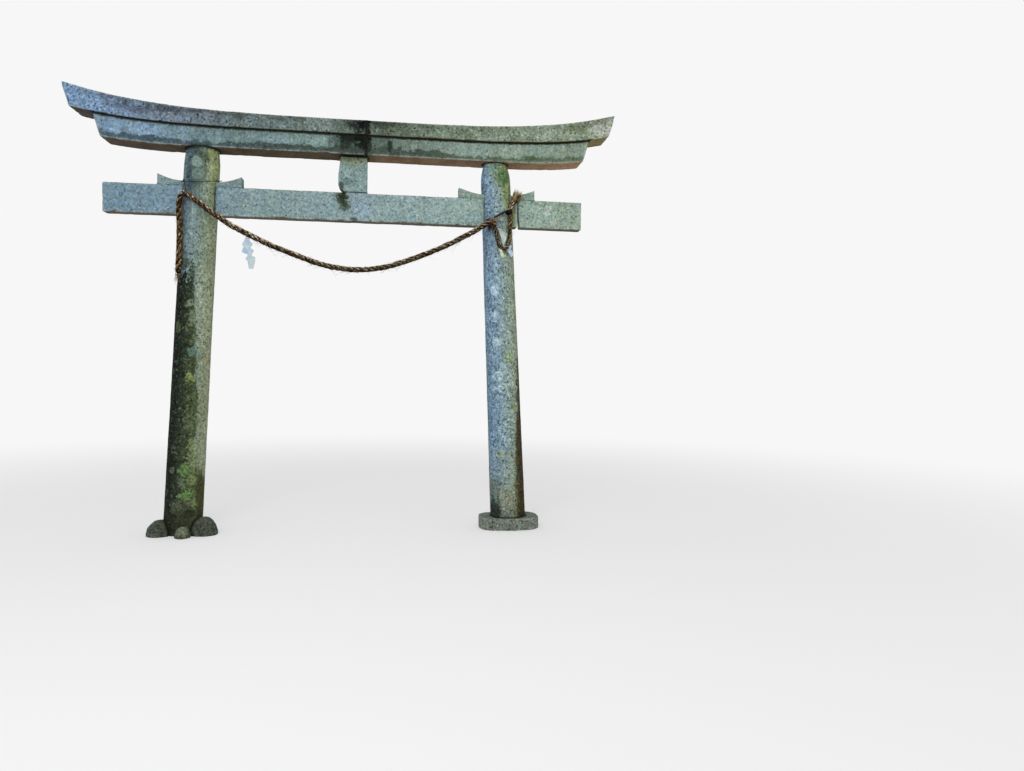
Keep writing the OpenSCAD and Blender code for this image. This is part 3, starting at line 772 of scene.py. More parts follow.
def plantTrees():
    # a search tree for each stone, to find how near the others are
    trees = {}
    for look in looks.values():
        for node in look["stones"]:
            mesh = stoneSurface(node)
            trees[node] = BVHTree.FromBMesh(mesh)
            mesh.free()
    return trees


def nearOthers(points, node, trees):
    # 1 where a stone touches another one, down to 0 at touchReach from it
    near = np.zeros(len(points))
    for other, tree in trees.items():
        if other == node:
            continue
        low, high = (np.array(c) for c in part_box(other))
        inside = np.all((points > low - touchReach) & (points < high + touchReach), axis=1)
        for i in np.flatnonzero(inside):
            far = tree.find_nearest(Vector(points[i]), touchReach)[3]
            if far is not None:
                near[i] = max(near[i], 1 - far / touchReach)
    return near


def relaxed(points, edges, rounds):
    # each point moved towards the middle of its neighbours
    count = np.bincount(edges.ravel(), minlength=len(points))[:, None]
    for _ in range(rounds):
        total = np.stack([np.bincount(edges[:, 0], points[edges[:, 1], k], len(points))
                          + np.bincount(edges[:, 1], points[edges[:, 0], k], len(points))
                          for k in range(3)], axis=1)
        points = points + 0.6 * (total / count - points)
    return points


def shareOfHeight(points):
    # 0 at a stone's underside and 1 at its top, measured at each place along it
    along = (points[:, 0] - points[:, 0].min()) / columnWidth
    column = along.astype(int)
    low, high = np.full(column.max() + 1, 99.0), np.full(column.max() + 1, -99.0)
    np.minimum.at(low, column, points[:, 2])
    np.maximum.at(high, column, points[:, 2])
    at, ticks = along - 0.5, np.arange(len(low))
    low, high = np.interp(at, ticks, low), np.interp(at, ticks, high)
    return (points[:, 2] - low) / np.maximum(high - low, 0.01)


def gathered(items, field, width, kind=float):
    # a field of a mesh's points or edges, as rows
    values = np.zeros(len(items) * width, kind)
    items.foreach_get(field, values)
    return values.reshape(-1, width)


def dressStone(node, kind, material, trees):
    worn = wear[kind]
    source = stoneSurface(node)
    mesh = bpy.data.meshes.new(node)
    source.to_mesh(mesh)
    source.free()
    piece = bpy.data.objects.new(node + "_dressed", mesh)
    bpy.context.collection.objects.link(piece)
    remesh = piece.modifiers.new("even facets", "REMESH")
    remesh.mode = "VOXEL"
    remesh.voxel_size = worn["grid"]
    even = bpy.data.meshes.new_from_object(piece.evaluated_get(bpy.context.evaluated_depsgraph_get()))
    piece.modifiers.clear()
    piece.data = even
    points = gathered(even.vertices, "co", 3)
    edges = gathered(even.edges, "vertices", 2, np.int32)

    crisp = relaxed(points, edges, worn["crisp"])
    soft = relaxed(crisp, edges, worn["soft"] - worn["crisp"])
    even.vertices.foreach_set("co", crisp.ravel())
    even.update()
    normals = gathered(even.vertices, "normal", 3)
    inward = -np.sum((soft - crisp) * normals, axis=1)
    arris = np.clip(inward / (0.25 * worn["grid"]), 0, 1)
    crevice = nearOthers(crisp, node, trees)
    tight = arris * ramped(crevice, 0.80, 0.95)  # an arris against another stone stays sharp
    dull = (ramped(cloudy(points, apart["dull"], 3), 0.35, 0.75) * (1 - tight))[:, None]
    shaped = crisp + (soft - crisp) * dull
    broken = ramped(cloudy(points, apart["chip"], 5), 0.62, 0.85) * arris
    depth = (worn["chip"] * broken + worn["wave"] * cloudy(points, apart["wave"], 7)
             + 0.5 * worn["wave"] * cloudy(points, apart["ripple"], 9)
             + worn["pit"] * cloudy(points, apart["pit"], 13) - worn.get("full", 0) * worn["wave"])
    for middle, radius, deep in dents.get(node, []):
        far = np.linalg.norm(points - np.array(middle), axis=1)
        depth += deep * ramped(radius - far, 0, radius * 0.8)
    depth = depth * (1 - tight) - 0.45 * worn["grid"] * tight
    shaped = shaped - normals * depth[:, None]
    shaped[:, 2] = np.maximum(shaped[:, 2], 0.0)
    shaped[points[:, 2] < 0.004, 2] = 0.0  # what stands on the ground stays flat
    even.vertices.foreach_set("co", shaped.ravel())
    even.update()
    even.shade_smooth()
    store(even, "arris", arris)
    store(even, "crevice", crevice)
    store(even, "share", shareOfHeight(shaped))
    even.materials.clear()
    even.materials.append(material)
    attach(piece, "root")
    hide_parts(node)


# Colours and weathering, with the stones that have them and how each is worn. tones run along the gate from
# left to right, or byFacing from what faces left to what faces right; by facing they also hold a painted
# blue sky reflection and the painted light and shade of each side. speckle, blotch, lichen, moss, streaks
# and worms say how much of each there is. crown tints the upper part of a lintel's face, as much as
# crownAlong says at each x. soffit is the underside, soffitRight at the right end. The grime and shade entry
# is the nearness to another stone where dirt and painted contact shade start, where they are full, and their
# strength. rim is how pale worn arrises are, partly wear and partly a painted highlight, footDirt the dirt
# near the ground, top the dust on what faces up. lowTint is full below one height and gone above another.
# band is how far up the damp edge of the under lintel reaches at each x, and the lip shadow entry how strong
# the painted shadow of the lintel above and the dark moss under it are at each x.
# A stain, drip, tuft or patch of soot is its middle, half sizes, colour and strength. Discs and rings are
# round lichens: middle, radius and colour. A lee is a coat on one side of a pillar, 1 for the right and -1
# for the left: growth, and low on each pillar also painted shade. Its edge is how far round it reaches at
# some heights, from 0 on the left to 1 on the right.
# height is where it starts and ends, fray how ragged those ends are, behind how much lower it sits at the
# back, soft how soft its edge is, flecks how much it is flecked, and tints run from left to right.
plainDust = ((96, 102, 84), 0.55)
soffitAlong = [(-2.5, 0.0), (0.1, 0.0), (0.25, 0.42), (1.1, 0.5), (2.0, 1.0)]  # the share of soffitRight
looks = {
    "left_pillar": {
        "stones": {"left_pillar": "pillar"},
        "slot": "pillar_left", "byFacing": True, "speckle": 1.15, "blotch": 0.35, "lichen": 0.15,
        "moss": 0.2, "streaks": 0.25, "worms": 0.5, "soffit": (80, 80, 62), "grimeAndShade": (0.6, 0.92, 0.85),
        "rim": 0.2, "footDirt": 0.5,
        "tones": [(0.0, (104, 122, 130)), (0.24, (112, 130, 138)), (0.43, (134, 156, 160)),
                  (0.615, (128, 148, 140)), (0.78, (140, 156, 134)), (0.93, (146, 155, 124)),
                  (1.0, (152, 160, 134))],
        "lees": [
            # low on the left side: dark algae, with painted shadow over it
            {"side": -1, "strength": 0.97, "height": (-1.0, 2.42), "fray": 0.34, "behind": 0.5,
             "flecks": 0.5,
             "edge": [(0.1, 1.0), (0.5, 1.0), (0.62, 0.84), (0.9, 0.81), (1.17, 0.86), (1.4, 0.77),
                      (1.63, 0.71), (1.87, 0.66), (2.1, 0.62), (2.4, 0.58)],
             "tints": [(0.2, (14, 18, 9)), (0.43, (35, 43, 25)), (0.615, (56, 65, 38)),
                       (0.78, (76, 88, 58)), (1.0, (78, 84, 52))]},
            {"side": -1, "strength": 0.9, "height": (3.1, 5.0),
             "edge": [(3.0, 0.54), (3.2, 0.66), (3.32, 0.74), (3.42, 0.84), (3.52, 0.96), (4.0, 0.96)],
             "tints": [(0.1, (92, 112, 118)), (0.24, (66, 86, 94)), (0.43, (56, 70, 68)),
                       (0.615, (76, 92, 82)), (0.8, (96, 104, 74)), (1.0, (100, 104, 66))]},
            {"side": 1, "strength": 0.6, "height": (3.0, 5.0),
             "edge": [(3.0, 0.84), (4.0, 0.84)],
             "tints": [(0.7, (132, 142, 100)), (1.0, (138, 148, 96))]}],
        "stains": [
            ((-1.44, -0.14, 3.5), (0.13, 0.12, 0.03), (48, 58, 54), 0.8),
            ((-1.31, -0.15, 3.42), (0.05, 0.1, 0.06), (60, 74, 60), 0.7),
            ((-1.43, -0.16, 3.31), (0.06, 0.08, 0.035), (70, 86, 84), 0.8),
            ((-1.45, -0.16, 3.25), (0.05, 0.08, 0.05), (60, 76, 76), 0.8),
            # a painted highlight along the pillar's right side, where light falls on it
            ((-1.325, -0.07, 2.1), (0.085, 0.16, 0.5), (166, 174, 148), 0.4),
            ((-1.47, -0.15, 2.46), (0.07, 0.12, 0.06), (70, 86, 66), 0.8),
            ((-1.41, -0.165, 2.37), (0.045, 0.06, 0.04), (74, 90, 76), 0.8),
            ((-1.4, -0.165, 1.98), (0.04, 0.06, 0.1), (120, 138, 112), 0.6),
            ((-1.42, -0.165, 2.1), (0.045, 0.06, 0.05), (128, 144, 116), 0.8),
            ((-1.4, -0.165, 1.66), (0.06, 0.06, 0.06), (86, 116, 102), 0.8),
            ((-1.53, -0.14, 1.88), (0.045, 0.08, 0.08), (88, 104, 72), 0.6),
            ((-1.414, -0.165, 1.43), (0.058, 0.06, 0.05), (126, 142, 86), 0.95),
            ((-1.39, -0.165, 0.82), (0.06, 0.06, 0.1), (126, 142, 98), 0.65),
            ((-1.36, -0.165, 0.63), (0.055, 0.06, 0.13), (120, 138, 100), 0.6),
            ((-1.355, -0.165, 0.3), (0.04, 0.06, 0.07), (104, 128, 78), 0.8),
            ((-1.56, -0.12, 0.8), (0.035, 0.08, 0.03), (86, 96, 78), 0.45),
            ((-1.565, -0.12, 0.59), (0.038, 0.08, 0.042), (100, 110, 90), 0.55),
            ((-1.5, -0.14, 0.24), (0.12, 0.1, 0.1), (86, 92, 72), 0.45),
            ((-1.42, -0.165, 0.2), (0.09, 0.1, 0.06), (38, 40, 22), 0.8),
            ((-1.335, -0.06, 0.33), (0.065, 0.12, 0.3), (62, 64, 34), 0.85),
            ((-1.6, -0.04, 0.2), (0.1, 0.12, 0.14), (34, 38, 26), 0.8)],
        "tufts": [
            ((-1.462, -0.165, 0.6), (0.06, 0.08, 0.085), (96, 126, 72), 0.8),
            ((-1.448, -0.165, 0.37), (0.08, 0.08, 0.055), (102, 136, 80), 0.8),
            ((-1.47, -0.165, 0.48), (0.06, 0.08, 0.07), (92, 112, 82), 0.7),
            ((-1.51, -0.14, 0.28), (0.08, 0.1, 0.07), (84, 94, 72), 0.6),
            ((-1.36, -0.165, 0.28), (0.06, 0.08, 0.08), (116, 136, 88), 0.8),
            ((-1.37, -0.165, 0.7), (0.09, 0.08, 0.16), (134, 148, 112), 0.5),
            ((-1.42, -0.165, 1.05), (0.07, 0.08, 0.16), (112, 128, 96), 0.32)],
        "discs": [
            ((-1.366, -0.158, 3.372), 0.054, (132, 156, 146)),
            ((-1.359, -0.158, 3.262), 0.052, (114, 136, 126))],
        "rings": [
            ((-1.401, -0.15, 0.5), 0.048, (124, 138, 84))],
    },
    "right_pillar": {
        "stones": {"right_pillar": "pillar"},
        "slot": "pillar_right", "byFacing": True, "speckle": 1.4, "blotch": 0.45, "lichen": 0.25,
        "moss": 0.15, "streaks": 0.25, "worms": 0.8, "soffit": (80, 80, 62), "grimeAndShade": (0.74, 0.98, 0.75),
        "rim": 0.2, "footDirt": 0.25, "lowTint": (0.2, 1.1, (252, 242, 222)),
        "tones": [(0.0, (122, 149, 172)), (0.1, (130, 159, 184)), (0.25, (136, 164, 185)),
                  (0.42, (146, 171, 181)), (0.6, (152, 173, 169)), (0.79, (160, 177, 160)),
                  (1.0, (154, 164, 138))],
        "lees": [
            # low on the right side: dark growth, with painted shade where the pillar turns from the light
            {"side": 1, "strength": 0.95, "height": (-1.0, 1.85), "fray": 0.3, "soft": 0.13,
             "edge": [(0.1, 0.68), (0.35, 0.67), (0.57, 0.69), (0.81, 0.73), (1.05, 0.83), (1.29, 0.88),
                      (1.53, 0.92), (1.8, 0.97)],
             "tints": [(0.66, (104, 106, 76)), (0.75, (72, 66, 40)), (0.83, (54, 46, 28)),
                       (1.0, (50, 42, 26))]},
            {"side": 1, "strength": 0.85, "height": (3.0, 5.0), "soft": 0.4,
             "edge": [(3.0, 0.9), (3.2, 0.62), (3.3, 0.38), (3.42, 0.18), (3.6, 0.12)],
             "tints": [(0.2, (106, 130, 118)), (0.4, (100, 122, 98)), (0.6, (104, 124, 86)),
                       (0.8, (120, 136, 88)), (1.0, (124, 136, 84))]}],
        "stains": [
            ((1.42, -0.13, 3.375), (0.085, 0.12, 0.09), (90, 122, 76), 0.85),
            ((1.44, -0.15, 0.27), (0.13, 0.12, 0.19), (146, 152, 126), 0.65),
            ((1.345, -0.11, 0.38), (0.1, 0.14, 0.14), (112, 118, 100), 0.55),
            ((1.35, -0.11, 0.17), (0.115, 0.14, 0.18), (44, 54, 40), 0.92),
            ((1.492, -0.15, 1.65), (0.07, 0.08, 0.08), (150, 172, 130), 0.7),
            ((1.411, -0.15, 0.72), (0.075, 0.08, 0.05), (152, 168, 130), 0.55),
            ((1.46, -0.145, 2.42), (0.05, 0.06, 0.05), (152, 176, 158), 0.8),
            ((1.536, -0.14, 1.177), (0.04, 0.06, 0.04), (134, 144, 96), 0.9),
            ((1.5, -0.15, 0.3), (0.07, 0.08, 0.12), (136, 136, 116), 0.5)],
        "discs": [
            ((1.331, -0.148, 2.29), 0.052, (180, 206, 220)),
            ((1.334, -0.148, 2.053), 0.042, (180, 206, 220)),
            ((1.356, -0.152, 1.796), 0.048, (182, 206, 214)),
            ((1.322, -0.148, 1.358), 0.044, (176, 200, 210)),
            ((1.309, -0.148, 1.672), 0.038, (174, 198, 214))],
        "rings": [
            ((1.378, -0.155, 1.473), 0.054, (184, 208, 210)),
            ((1.425, -0.155, 1.359), 0.05, (184, 206, 202))],
    },
    "tie_beam": {
        "stones": {"tie_beam_centre": "dressed", "tie_beam_left_end": "dressed",
                   "tie_beam_right_end": "small"},
        "slot": "tie_beam", "speckle": 1.0, "blotch": 0.06, "lichen": 0.0, "moss": 0.12, "streaks": 0.12,
        "soffit": (100, 96, 84), "grimeAndShade": (0.8, 1.0, 0.7), "rim": 0.5,
        "tones": [(0.0, (112, 138, 152)), (0.12, (120, 146, 161)), (0.22, (130, 154, 167)),
                  (0.34, (134, 156, 156)), (0.5, (139, 162, 166)), (0.72, (151, 173, 168)),
                  (0.84, (152, 173, 158)), (1.0, (153, 170, 154))],
        "stains": [
            ((0.075, -0.062, 3.05), (0.12, 0.08, 0.15), (146, 166, 184), 0.5),
            ((0.016, -0.062, 2.92), (0.05, 0.08, 0.03), (58, 60, 52), 0.8),
            ((1.5, -0.062, 3.03), (0.055, 0.1, 0.18), (144, 148, 92), 0.8),
            ((1.86, -0.062, 3.08), (0.06, 0.06, 0.06), (192, 202, 194), 0.55),
            ((1.93, -0.062, 2.98), (0.04, 0.06, 0.04), (192, 198, 186), 0.55)],
        "tufts": [
            ((-0.105, -0.062, 3.13), (0.08, 0.1, 0.095), (56, 66, 42), 0.9),
            ((-0.07, -0.062, 3.05), (0.075, 0.1, 0.07), (70, 82, 66), 0.85),
            ((-0.1, -0.062, 3.16), (0.045, 0.08, 0.06), (28, 34, 20), 0.8),
            ((-0.075, -0.062, 3.08), (0.04, 0.08, 0.05), (38, 46, 30), 0.65)],
    },
    "wedge": {
        "stones": {"left_outer_wedge": "small", "left_inner_wedge": "small", "right_inner_wedge": "small",
                   "right_outer_wedge": "small"},
        "slot": "tie_beam", "speckle": 0.9, "blotch": 0.2, "lichen": 0.0, "moss": 0.25, "streaks": 0.1,
        "soffit": (104, 100, 84), "grimeAndShade": (0.93, 1.1, 0.5), "rim": 0.45,
        "tones": [(0.0, (122, 148, 154)), (0.3, (130, 150, 150)), (0.75, (140, 160, 148)),
                  (1.0, (142, 164, 152))],
    },
    "strut": {
        "stones": {"centre_strut": "small"},
        "slot": "strut", "speckle": 1.0, "blotch": 0.15, "lichen": 0.0, "moss": 0.2, "streaks": 0.25,
        "soffit": (90, 90, 70), "grimeAndShade": (0.7, 0.98, 0.85), "rim": 0.3,
        "tones": [(0.0, (136, 160, 158)), (1.0, (136, 160, 158))],
        "stains": [
            ((0.01, -0.059, 3.495), (0.19, 0.16, 0.13), (136, 148, 118), 0.5),
            ((0.01, -0.059, 3.5), (0.19, 0.16, 0.06), (118, 126, 86), 0.7),
            # painted shadow along the strut's top, under the lintel
            ((0.0, -0.059, 3.52), (0.19, 0.16, 0.022), (26, 28, 20), 0.9),
            ((-0.045, -0.059, 3.275), (0.065, 0.08, 0.05), (88, 108, 110), 0.65),
            ((-0.108, -0.059, 3.225), (0.036, 0.12, 0.06), (58, 68, 50), 0.85)],
    },
    "under_lintel": {
        "stones": {"under_lintel_left": "dressed", "under_lintel_right": "dressed"},
        "slot": "under_lintel", "speckle": 0.95, "blotch": 0.3, "lichen": 0.05, "moss": 0.2, "streaks": 0.5,
        "soffit": (88, 72, 50), "soffitRight": (168, 134, 104), "grimeAndShade": (0.52, 0.86, 0.9), "rim": 0.45,
        "tones": [(0.0, (124, 148, 174)), (0.1, (128, 155, 178)), (0.18, (122, 146, 158)),
                  (0.26, (114, 136, 138)), (0.44, (122, 146, 142)), (0.58, (114, 132, 124)),
                  (0.68, (136, 155, 146)), (0.82, (146, 164, 150)), (1.0, (142, 159, 140))],
        "band": [(-2.5, 0.26), (-1.6, 0.36), (-1.42, 0.22), (-1.2, 0.18), (-1.0, 0.36), (-0.3, 0.34),
                 (0.35, 0.44), (0.8, 0.34), (1.05, 0.22), (1.35, 0.2), (1.8, 0.27), (2.5, 0.22)],
        "lipShadowAndMoss": [(-2.5, 0.3), (-0.2, 0.35), (0.4, 0.85), (1.9, 0.9), (2.5, 0.7)],
        "bandTones": [(0.0, (64, 86, 102)), (0.18, (58, 74, 82)), (0.34, (58, 68, 66)),
                      (0.62, (60, 70, 60)), (0.74, (80, 94, 72)), (1.0, (88, 104, 76))],
        "stains": [
            ((0.34, -0.134, 3.61), (0.03, 0.08, 0.06), (46, 54, 46), 0.85),
            ((-1.82, -0.134, 3.625), (0.2, 0.08, 0.05), (140, 168, 196), 0.5),
            ((-0.62, -0.134, 3.7), (0.02, 0.08, 0.025), (60, 72, 66), 0.7),
            ((-0.69, -0.134, 3.605), (0.2, 0.08, 0.045), (134, 160, 168), 0.45),
            ((-0.3, -0.134, 3.62), (0.14, 0.08, 0.05), (140, 162, 156), 0.5),
            ((1.67, -0.134, 3.56), (0.14, 0.1, 0.03), (66, 92, 56), 0.6)],
        "soot": [
            ((0.02, -0.134, 3.675), (0.19, 0.16, 0.075), (24, 31, 28), 0.88),
            ((0.09, -0.134, 3.655), (0.09, 0.16, 0.115), (15, 19, 17), 0.92),
            # painted shadow on the underside, over the strut
            ((-0.01, -0.1, 3.507), (0.17, 0.075, 0.03), (16, 14, 12), 0.95),
            ((0.34, -0.134, 3.6), (0.035, 0.1, 0.06), (36, 44, 36), 0.8)],
        "drips": [
            ((0.22, -0.134, 3.62), (0.24, 0.16, 0.13), (72, 84, 76), 0.65),
            ((-0.04, -0.134, 3.6), (0.22, 0.16, 0.14), (62, 74, 64), 0.7),
            ((0.36, -0.134, 3.71), (0.3, 0.12, 0.04), (44, 52, 42), 0.7),
            ((-0.06, -0.134, 3.63), (0.07, 0.12, 0.11), (34, 42, 34), 0.8),
            ((0.15, -0.134, 3.6), (0.035, 0.12, 0.08), (30, 38, 32), 0.8)],
    },
    "top_lintel": {
        "stones": {"top_lintel_left": "dressed", "top_lintel_right": "dressed"},
        "slot": "top_lintel", "crown": (182, 178, 176), "speckle": 1.45, "blotch": 0.5, "lichen": 0.1,
        "moss": 0.45, "streaks": 0.4, "soffit": (80, 70, 56), "soffitRight": (140, 128, 84),
        "grimeAndShade": (0.52, 0.86, 0.9), "rim": 0.55,
        "tones": [(0.0, (120, 150, 182)), (0.08, (128, 154, 184)), (0.17, (114, 128, 144)),
                  (0.3, (106, 121, 122)), (0.46, (112, 127, 122)), (0.56, (92, 104, 90)),
                  (0.64, (116, 130, 114)), (0.76, (128, 142, 122)), (0.88, (152, 166, 148)),
                  (0.94, (138, 152, 128)), (1.0, (178, 184, 172))],
        "crownAlong": [(-2.5, 0.0), (-2.25, 0.05), (-2.1, 0.6), (-1.7, 1.0), (-0.6, 0.8), (-0.3, 0.5),
                       (0.3, 0.8), (0.8, 0.4), (2.1, 0.3), (2.3, 0.5), (2.5, 0.6)],
        "stains": [
            ((-2.12, -0.153, 3.905), (0.09, 0.1, 0.035), (80, 72, 92), 0.65),
            ((-2.08, -0.153, 3.84), (0.08, 0.1, 0.035), (90, 98, 120), 0.5),
            ((-1.86, -0.153, 3.8), (0.14, 0.1, 0.05), (76, 82, 96), 0.65),
            ((-1.6, -0.153, 3.83), (0.17, 0.1, 0.045), (80, 90, 98), 0.5),
            ((-1.4, -0.153, 3.85), (0.24, 0.1, 0.06), (82, 90, 96), 0.4),
            ((-1.18, -0.153, 3.82), (0.06, 0.1, 0.1), (84, 84, 78), 0.4),
            ((-0.28, -0.153, 3.78), (0.2, 0.1, 0.1), (136, 150, 146), 0.5),
            ((1.3, -0.153, 3.73), (0.24, 0.1, 0.05), (148, 162, 148), 0.5),
            ((2.33, -0.153, 3.87), (0.12, 0.12, 0.06), (184, 188, 182), 0.5),
            ((2.07, -0.153, 3.86), (0.04, 0.12, 0.05), (100, 106, 70), 0.6),
            ((2.3, -0.153, 3.955), (0.09, 0.12, 0.025), (112, 114, 82), 0.5)],
        "soot": [
            ((0.26, -0.153, 3.85), (0.18, 0.16, 0.085), (46, 54, 48), 0.75),
            ((-0.1, -0.153, 3.8), (0.12, 0.16, 0.15), (78, 92, 82), 0.5),
            ((0.07, -0.153, 3.81), (0.15, 0.16, 0.15), (22, 28, 26), 0.88),
            ((0.11, -0.153, 3.82), (0.09, 0.16, 0.14), (13, 17, 16), 0.92)],
        "drips": [
            ((0.04, -0.153, 3.88), (0.22, 0.14, 0.1), (44, 50, 46), 0.6),
            ((0.34, -0.153, 3.86), (0.26, 0.12, 0.09), (66, 74, 64), 0.55)],
    },
    "field_stone": {
        "stones": {"left_foot_stone_outer": "boulder", "left_foot_stone_inner": "boulder",
                   "left_foot_stone_front": "boulder", "left_foot_stone_back": "boulder"},
        "slot": "field_stone", "speckle": 1.2, "blotch": 0.8, "lichen": 0.4, "moss": 0.25, "streaks": 0.0,
        "top": ((112, 122, 104), 0.7), "soffit": (52, 50, 40), "grimeAndShade": (0.5, 0.85, 0.9), "rim": 0.3,
        "footDirt": 0.55,
        "tones": [(0.0, (94, 103, 92)), (1.0, (96, 106, 96))],
        "stains": [
            ((-1.45, -0.27, 0.09), (0.12, 0.1, 0.09), (148, 160, 128), 0.85),
            ((-1.66, -0.12, 0.12), (0.05, 0.1, 0.05), (112, 116, 108), 0.6),
            ((-1.26, -0.14, 0.14), (0.09, 0.1, 0.05), (98, 108, 94), 0.6)],
    },
    "base_stone": {
        "stones": {"right_base_stone": "slab"},
        "slot": "base_stone", "speckle": 1.5, "blotch": 0.6, "lichen": 0.3, "moss": 0.3, "streaks": 0.2,
        "top": ((138, 146, 138), 0.6), "soffit": (60, 58, 46), "grimeAndShade": (0.62, 0.95, 0.85), "rim": 0.3,
        "footDirt": 0.25,
        "tones": [(0.0, (142, 151, 140)), (1.0, (142, 151, 140))],
    },
}


# The noises in the granite: size in metres, detail, roughness, and for upright ones the scale of their height
noises = {
    "grain": (0.024, 4, 0.72), "grit": (0.0042, 2, 0.7), "blotches": (0.16, 4, 0.6), "lobes": (0.05, 5, 0.68),
    "streaks": (0.030, 4, 0.68, 0.22), "rain": (0.030, 4, 0.6, 0.09), "cool": (0.05, 4, 0.7),
    "clouds": (0.11, 5, 0.7), "waves": (0.11, 5, 0.66), "drips": (0.018, 3, 0.6, 0.12),
    "darkFlecks": (0.019, 2, 0.5), "paleFlecks": (0.021, 2, 0.5), "tracks": (0.034, 2, 0.6, 0.6),
}

# Cells in it, and how a place is shaken before they are looked up: sizes in metres
cellSizes = {"crystal": 0.007, "lichen": (0.12, 0.03, 0.018), "dot": (0.045, 0.02, 0.012)}

relief = 0.0035  # how deep the granite's grain is, in metres

# Tints of the weathering and of painted shade and highlights, as a paint chart gives them: the grime tint
# also paints contact shade where stones meet, the lip tint the shadow of the top lintel's lip with dark moss
# in it, and the arris tint partly a highlight on arrises
tints = {
    "cloud": (196, 198, 188), "rain": (74, 82, 70), "leeFleck": (120, 134, 100), "lichen": (172, 190, 182),
    "damp": (92, 112, 106), "drip": (60, 70, 60), "lipShadowAndMoss": (24, 29, 20), "brownDust": (228, 220, 210),
    "grimeAndShade": (30, 34, 25), "footDirt": (46, 46, 33), "arris": (188, 198, 192), "moss": (62, 74, 44),
    "mossTip": (80, 90, 54),
}


